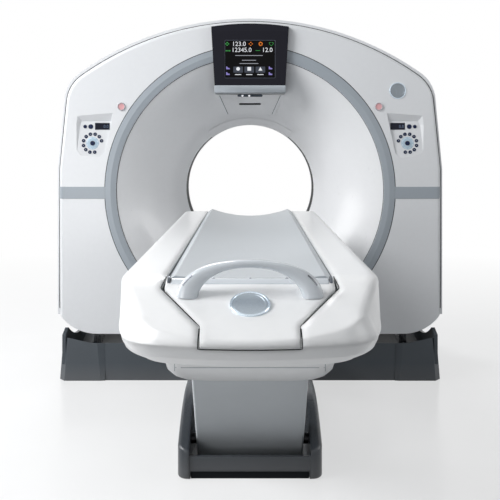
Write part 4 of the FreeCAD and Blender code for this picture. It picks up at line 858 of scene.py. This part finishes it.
class SCANNER_OT_seams(Operator):
    """Lays dark gaskets beside the ring, round the front cover and in the pan's seams, and painted shade in
    the seam round the end block
    """

    bl_idname = "scanner.seams"
    bl_label = "Gaskets"

    def execute(self, context):
        width = context.scene.scanner_details.gasket
        rubber = moulded("gasket rubber", (0.19, 0.20, 0.21), roughness=0.7, coat=0, grain=0.00005, shine=0.1)
        self.ring(width, rubber)
        self.cover_edge(width, rubber)
        # The end block's seam gets a strip of painted shade, made in the gasket rubber.
        self.end_block(rubber)
        self.pan(moulded("pan seam", (0.66, 0.68, 0.70), roughness=0.6, coat=0, shine=0.2))
        return {"FINISHED"}

    def ring(self, width, rubber):
        """The beads in the seams outside and inside the ring."""
        outer, ring_width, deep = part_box("ring_trim")[1].x, 0.057, 0.006
        for name, low, face in (("outer", outer, -0.4203), ("inner", outer - ring_width - width, -0.4195)):
            section = [(low, face), (low + width, face), (low + width, face + deep), (low, face + deep)]
            mesh = turned(bmesh.new(), section, BORE, AHEAD, 256, tube=True)
            new_piece(f"ring_gasket_{name}", mesh, "gantry", rubber)

    def cover_edge(self, width, rubber):
        """The bead between the front cover and the band behind it, over the top and down both sides."""
        middle, face, deep = Vector((0, -0.3865, 1.0)), -0.3925, Vector((0, 0.003, 0))
        count, reach, outside = 180, 123, 1.6       # the reach is in degrees from the top to each side's end
        loops = []
        for n in range(count + 1):
            turn = math.radians(reach * (2 * n / count - 1))
            out = Vector((math.sin(turn), 0, math.cos(turn)))
            point, normal = landing("front_cover", middle + out * outside, -out)
            point.y, normal.y = face, 0
            inner, outer = point - normal.normalized() * 0.001, point + normal.normalized() * width
            loops.append([inner, outer, outer + deep, inner + deep])
        new_piece("cover_gasket", face_loops(bmesh.new(), loops), "gantry", rubber)

    def end_block(self, rubber):
        """A dark strip of painted shade in the seam beside the cradle, round its end block and under the
        block's lip.
        """
        half = []
        step, nose = 0.012, Vector((0.1165, -2.96, 0.752))
        plan = [(0.2130, -2.760), (0.2130, -2.775), (0.2196, -2.826), (0.2186, -2.832), (0.1176, -2.985),
                (nose.x, -2.996)]
        for (x0, y0), (x1, y1) in zip(plan, plan[1:]):
            count = max(1, int(math.hypot(x1 - x0, y1 - y0) / step))
            for n in range(count):
                share = n / count
                half.append(top_of("upper_shell", x0 + (x1 - x0) * share, y0 + (y1 - y0) * share))
        for n in range(15):
            turn = math.radians(52 - 4 * n)
            out = Vector((0, -math.cos(turn), math.sin(turn)))
            half.append(landing("upper_shell", nose + out, -out))
        for n in range(10):
            half.append(front_of("upper_shell", 0.1105 * (1 - n / 9.5), 0.7458))
        flip = Vector((-1, 1, 1))
        spots = half + [(point * flip, normal * flip) for point, normal in reversed(half)]
        mesh = ribbon(bmesh.new(), spots, 0.0013, 0.0003, 0.0006)
        new_piece("end_block_seam_shade", mesh, "table", rubber)

    def pan(self, grey):
        """The fine seam lines on the front of the pan below the table."""
        lines = [[(0.19 * (n / 12 - 1), 0.636) for n in range(25)]]
        lines += [[(sign * 0.192, 0.686 - 0.006 * n) for n in range(11)] for sign in (-1, 1)]
        mesh = bmesh.new()
        for line in lines:
            ribbon(mesh, [front_of("belly_pan", x, z) for x, z in line], 0.0008, 0.0003, 0.001)
        new_piece("pan_seams", mesh, "table", grey)


class SCANNER_OT_badges(Operator):
    """Sets a plain round metal badge on the gantry and one on the end block"""

    bl_idname = "scanner.badges"
    bl_label = "Badges"

    def execute(self, context):
        details, colours = context.scene.scanner_details, context.scene.scanner_colours
        # The end block's badge face is a lighter copy of the same metal, painted light on a face turned up;
        # the rims are lighter still, partly polished and partly a painted highlight.
        face = metal("badge metal", shade(colours.badge, 1.05), 0.34, (1, 1, 0.05), grains=500)
        lit_table_face = metal("table badge metal painted lighter", shade(colours.badge, 1.4), 0.36, (1, 1, 0.05), grains=500)
        rim = metal("badge rim with painted highlight", shade(colours.badge, 1.7), 0.26, ALL_WAYS)
        point, out = front_of("front_cover", 0.761, 1.485)
        self.badge("front_badge", "gantry", point, out, details.badge_front, face, rim)
        point, out = top_of("cradle_end_block", 0, -2.905)
        raised, leaned = point + out * 0.004, Matrix.Rotation(math.radians(5), 3, "X") @ out
        self.badge("table_badge", "cradle", raised, leaned, details.badge_table, lit_table_face, rim)
        return {"FINISHED"}

    def badge(self, name, body, point, out, radius, face, rim):
        """A flat disc in a rounded rim."""
        edge = radius * 0.87
        hoop = [(edge, -0.010), (radius, -0.010), (radius, 0.0022), (radius * 0.97, 0.0040),
                (edge * 1.03, 0.0040), (edge, 0.0024)]
        disc = [(edge, -0.003), (edge, 0.0022), (edge * 0.985, 0.0029), (edge * 0.86, 0.0032),
                (edge * 0.84, 0.0026), (edge * 0.6, 0.0031), (edge * 0.25, 0.0035)]
        new_piece(f"{name}_rim", turned(bmesh.new(), hoop, point, out, 96, tube=True), body, rim)
        new_piece(f"{name}_face", turned(bmesh.new(), disc, point, out, 96), body, face)


class SCANNER_OT_handle(Operator):
    """Replaces the plain pull handle with a smooth arch that flares into its feet"""

    bl_idname = "scanner.handle"
    bl_label = "Pull handle"

    def execute(self, context):
        details, colours = context.scene.scanner_details, context.scene.scanner_colours
        low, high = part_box("cradle_handle")
        middle = (low.y + high.y) / 2
        thick, deep = details.handle_thick / 2, details.handle_deep / 2
        flare = 0.0165
        half = high.x - thick - flare - 0.001
        foot = top_of("cradle_end_block", half, middle)[0].z - 0.006
        rise = high.z - thick - foot
        count = 56
        spots = []
        for n in range(count + 1):
            turn = math.radians(-89.5 + 179 * n / count)
            share = abs(math.sin(turn)) ** (2 / 2.1)
            spots.append(Vector((math.copysign(half * share, turn), middle, foot + rise * math.cos(turn))))
        loops = []
        for n, spot in enumerate(spots):
            ahead = (spots[min(n + 1, count)] - spots[max(n - 1, 0)]).normalized()
            out = Vector((-ahead.z, 0, ahead.x))
            share = abs(spot.x) / half
            wide = thick + flare * max(0, (share - 0.25) / 0.75) ** 1.7
            apart = deep * (1 + 0.3 * max(0, (share - 0.6) / 0.4) ** 2)
            loops.append(self.section(spot, out, wide, apart))
        silver = moulded("handle silver", colours.handle, roughness=0.24, coat=0.5)
        handle = new_piece(
            "pull_handle", face_loops(bmesh.new(), loops), "cradle", silver, 60)
        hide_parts("cradle_handle")
        self.screw_slots(spots, loops)
        return {"FINISHED"}

    def section(self, spot, out, wide, apart):
        """A section of the arch, between an oval and a box."""
        loop = []
        for cos, sin in circle(1, 24):
            across = math.copysign(abs(cos) ** 0.75, cos) * apart
            up = math.copysign(abs(sin) ** 0.85, sin) * wide
            loop.append(spot + Vector((0, across, 0)) + out * up)
        return loop

    def screw_slots(self, spots, loops):
        """A dark slot along the front of each foot."""
        front_top = 9                               # the point of each loop that faces forward and up
        near_end, length = 5, 6                     # counted in loops from the end of the arch
        mesh = bmesh.new()
        for start, step in ((near_end, 1), (len(spots) - 1 - near_end, -1)):
            edge = []
            for n in range(start, start + length * step, step):
                point = loops[n][front_top]
                edge.append((point, (point - spots[n]).normalized()))
            ribbon(mesh, edge, 0.0021, 0.0003, 0.001)
        dark = metal("handle screw", (0.34, 0.35, 0.37), 0.3, ALL_WAYS)
        new_piece("handle_slots", mesh, "cradle", dark)


class SCANNER_OT_cradle_fittings(Operator):
    """Adds the bar with its studs and the two catches at the near end of the cradle"""

    bl_idname = "scanner.cradle_fittings"
    bl_label = "Cradle fittings"

    def execute(self, context):
        colours = context.scene.scanner_colours
        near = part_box("cradle")[0].y
        self.bar(near, moulded("bar silver", colours.handle, roughness=0.25, coat=0.5, edge=0.001))
        self.studs(near, metal("stud steel", (0.60, 0.62, 0.64), 0.25, ALL_WAYS))
        catch = metal("catch steel", (0.36, 0.38, 0.41), 0.32, (1, 1, 0.05))
        for side, sign in SIDES:
            self.catch(side, sign, near, catch)
        return {"FINISHED"}

    def bar(self, near, silver):
        """A bar across the board's end, drawn in a little at both of its own ends."""
        under = top_of("cradle_end_block", 0, near - 0.034)[0].z
        section = [(near - 0.001, 0.8560), (near - 0.001, 0.8665), (near - 0.003, 0.8675),
                   (near - 0.016, 0.8665), (near - 0.019, 0.8650), (near - 0.034, under + 0.002),
                   (near - 0.036, under + 0.0005), (near - 0.036, under - 0.003), (near - 0.010, 0.8560)]
        along, height = near - 0.017, 0.858
        ends = [(0.1975, 0.8), (0.1965, 0.95), (0.194, 1)]
        loops = []
        for x, draw in [(-x, draw) for x, draw in ends] + ends[::-1]:
            loops.append([Vector((x, along + (y - along) * draw, height + (z - height) * draw))
                          for y, z in section])
        new_piece("cradle_bar", face_loops(bmesh.new(), loops), "cradle", silver)

    def studs(self, near, steel):
        mesh = bmesh.new()
        for x in (-0.092, 0.0, 0.092):
            turned(mesh, [(0.0042, -0.001), (0.0042, 0.0012), (0.0034, 0.0018), (0.0014, 0.0020)],
                   Vector((x, near - 0.010, 0.8668)), UP, 24)
        new_piece("bar_studs", mesh, "cradle", steel)

    def catch(self, side, sign, near, steel):
        """A catch beside the end of the bar, sloping down away from the board."""
        middle = sign * 0.2035
        section = [(1, 0.014), (1, 0.002), (0.5, 0), (-0.5, 0), (-1, 0.002), (-1, 0.014)]
        loops = []
        for y, z, half in ((near - 0.002, 0.871, 0.0030), (near - 0.004, 0.8725, 0.0036),
                           (near - 0.016, 0.8715, 0.0038), (near - 0.028, 0.8670, 0.0036),
                           (near - 0.031, 0.8640, 0.0030)):
            loops.append([Vector((middle + half * aside, y, z - down)) for aside, down in section])
        new_piece(f"catch_{side}", face_loops(bmesh.new(), loops), "cradle", steel)


class SCANNER_OT_vents(Operator):
    """Sets two slatted vents in the rear cover, and the turn fasteners of the rear and side covers"""

    bl_idname = "scanner.vents"
    bl_label = "Vents and fasteners"

    def execute(self, context):
        count = context.scene.scanner_details.slats
        slat = moulded("vent slat", shade(context.scene.scanner_colours.cover, 0.8), roughness=0.45, coat=0)
        dark = moulded("vent shadow", (0.12, 0.13, 0.14), roughness=0.8, coat=0)
        lean = Matrix.Rotation(0.5, 4, "X")
        aside, lowest, pitch = 0.76, 0.46, 0.022
        for side, sign in SIDES:
            backs, slats = bmesh.new(), bmesh.new()
            for n in range(count):
                point, out = landing("rear_cover", (sign * aside, 1, lowest + pitch * n), -AHEAD)
                turn = moved(*point) @ Matrix.Rotation(math.atan2(out.x, -out.y), 4, "Z")
                tile(backs, rounded(0.062, 0.0075, 0.003), 0.004, turn @ moved(0, -0.0005, 0))
                slot = turn @ moved(0, -0.0035, 0.006) @ lean
                tile(slats, rounded(0.058, 0.0035, 0.0015, 3), 0.004, slot, 0.0008)
            new_piece(f"vent_dark_{side}", backs, "gantry", dark)
            new_piece(f"vent_slats_{side}", slats, "gantry", slat)
        self.fasteners(metal("fastener steel", (0.62, 0.64, 0.66), 0.28, ALL_WAYS))
        return {"FINISHED"}

    def fasteners(self, steel):
        """Slotted quarter-turn fasteners, four a side and six behind."""
        spots = [(f"side_cover_{side}", (sign * 2, y, z), (-sign, 0, 0))
                 for side, sign in SIDES for y in (-0.20, 0.20) for z in (0.45, 1.02)]
        spots += [("rear_cover", (x, 2, z), (0, -1, 0)) for x in (-0.9, 0.9) for z in (0.42, 0.9, 1.32)]
        head = [(0.012, -0.002), (0.012, 0.0012), (0.0108, 0.0020), (0.0088, 0.0020), (0.0080, 0.0012),
                (0.0020, 0.0012)]
        mesh = bmesh.new()
        for node, start, direction in spots:
            point, out = landing(node, start, direction)
            point = point - out * 0.0024
            turned(mesh, head, point, out, 32)
            slot, high = point + out * 0.0013, out * 0.0010
            along = out.cross(UP).normalized() * 0.0068
            up = UP * 0.0012
            face_loops(mesh, [[end + up, end - up, end - up + high, end + up + high]
                              for end in (slot - along, slot + along)])
        new_piece("turn_fasteners", mesh, "gantry", steel)


# ---------------------------------------------------------------- stage


class SCANNER_OT_stage(Operator):
    """Lays the floor and sets the lights and the camera"""

    bl_idname = "scanner.stage"
    bl_label = "Stage"

    def execute(self, context):
        stage = context.scene.scanner_stage
        self.floor(stage)
        self.world(context.scene, stage)
        self.lamp("key light", (-3.8, -3.4, 4.0), (0, -1.2, 0.8), 2.8, stage.key)
        self.lamp("side light", (-4.6, -1.6, 2.2), (0, -0.6, 0.9), 2.8, stage.side)
        self.lamp("far side light", (4.2, -2.4, 2.6), (0, -0.8, 0.9), 2.4, stage.far_side)
        self.lamp("low light", (-2.4, -6.0, 0.7), (0, -2.2, 0.5), 1.6, stage.low)
        self.lamp("back light", (-1.6, 3.6, 4.4), (0, 0.5, 0.9), 2.0, stage.back)
        self.camera(context.scene, stage)
        context.scene.view_settings.view_transform = "Standard"
        return {"FINISHED"}

    def floor(self, stage):
        mesh = bmesh.new()
        bmesh.ops.create_grid(mesh, x_segments=1, y_segments=1, size=60)
        ground = new_piece("floor", mesh, None, self.floor_finish(stage))

    def floor_finish(self, stage):
        """A pale polished floor that runs out into plain white, and throws little light back."""
        material = bpy.data.materials.new("pale floor")
        tree = Tree(material)
        table_middle = 1.2                          # how far in front of the bore
        plain_from, plain_to = 2.4, 6.5
        x, y = tree.axis("X"), tree.axis("Y") + table_middle
        far = (x * x + y * y).root().between(plain_from, plain_to)
        polish = tree.noise(2.2, 3)
        near = tree.node("ShaderNodeBsdfPrincipled", {
            "Base Color": tree.blend(polish.between(0.3, 0.7), (0.85, 0.86, 0.87), (0.87, 0.88, 0.89)),
            "Roughness": polish.between(0.3, 0.7) * 0.05 + 0.17,
            "Specular IOR Level": 0.35,
        })
        white = tree.node("ShaderNodeEmission", {"Color": (1, 1, 1), "Strength": 1.0})
        share = far * (1 - stage.floor_glow) + stage.floor_glow
        pale = tree.node("ShaderNodeMixShader", {0: share, 1: near, 2: white})
        dim = tree.node("ShaderNodeBsdfDiffuse", {"Color": (0.34, 0.345, 0.35)})
        mixed = tree.node("ShaderNodeMixShader", {0: tree.seen(), 1: dim, 2: pale})
        tree.node("ShaderNodeOutputMaterial", {"Surface": mixed})
        return material

    def world(self, scene, stage):
        """White where it is seen, and a soft cool fill on the scanner."""
        scene.world = bpy.data.worlds.new("studio")
        tree = Tree(scene.world)
        level = tree.node("ShaderNodeMix", {0: tree.seen(), 2: stage.fill, 3: 1.0}, data_type="FLOAT")
        tone = tree.blend(tree.seen(), (0.93, 0.97, 1.0), (1, 1, 1))
        sky = tree.node("ShaderNodeBackground", {"Color": tone, "Strength": level})
        tree.node("ShaderNodeOutputWorld", {"Surface": sky})

    def lamp(self, name, spot, target, size, power):
        light = bpy.data.lights.new(name, "AREA")
        light.shape, light.size, light.energy = "DISK", size, power
        item = bpy.data.objects.new(name, light)
        item.location = spot
        item.rotation_euler = (Vector(target) - Vector(spot)).to_track_quat("-Z", "Y").to_euler()
        bpy.context.scene.collection.objects.link(item)

    def camera(self, scene, stage):
        data = bpy.data.cameras.new("camera")
        data.lens, data.sensor_width = stage.lens, 36
        data.shift_y = -0.208
        data.clip_end = 200
        item = bpy.data.objects.new("camera", data)
        item.location = (0, -stage.camera_back, stage.camera_height)
        item.rotation_euler = (math.pi / 2, 0, 0)
        scene.collection.objects.link(item)
        scene.camera = item


# ---------------------------------------------------------------- sidebar and registration

OPERATORS = (
    SCANNER_OT_stage, SCANNER_OT_covers, SCANNER_OT_bases, SCANNER_OT_table, SCANNER_OT_works,
    SCANNER_OT_controls, SCANNER_OT_display, SCANNER_OT_seams, SCANNER_OT_badges, SCANNER_OT_handle,
    SCANNER_OT_cradle_fittings, SCANNER_OT_vents,
)


class SCANNER_PT_looks(Panel):
    """Lists the scanner's pieces and the sizes and colours that may be changed"""

    bl_label = "Scanner"
    bl_space_type = "VIEW_3D"
    bl_region_type = "UI"
    bl_category = "Scanner"

    def draw(self, context):
        column = self.layout.column()
        for operator in OPERATORS:
            column.operator(operator.bl_idname)
        for settings, group in GROUPS.items():
            for name in group.__annotations__:
                column.prop(getattr(context.scene, settings), name)


GROUPS = {"scanner_colours": ScannerColours, "scanner_details": ScannerDetails, "scanner_stage": ScannerStage}
CLASSES = (*GROUPS.values(), *OPERATORS, SCANNER_PT_looks)


def register():
    for item in CLASSES:
        bpy.utils.register_class(item)
    for name, group in GROUPS.items():
        setattr(bpy.types.Scene, name, PointerProperty(type=group))


def unregister():
    for name in GROUPS:
        delattr(bpy.types.Scene, name)
    for item in reversed(CLASSES):
        bpy.utils.unregister_class(item)


def main():
    register()
    for operator in OPERATORS:
        group, name = operator.bl_idname.split(".")
        getattr(getattr(bpy.ops, group), name)()


if __name__ == "__main__":
    main()
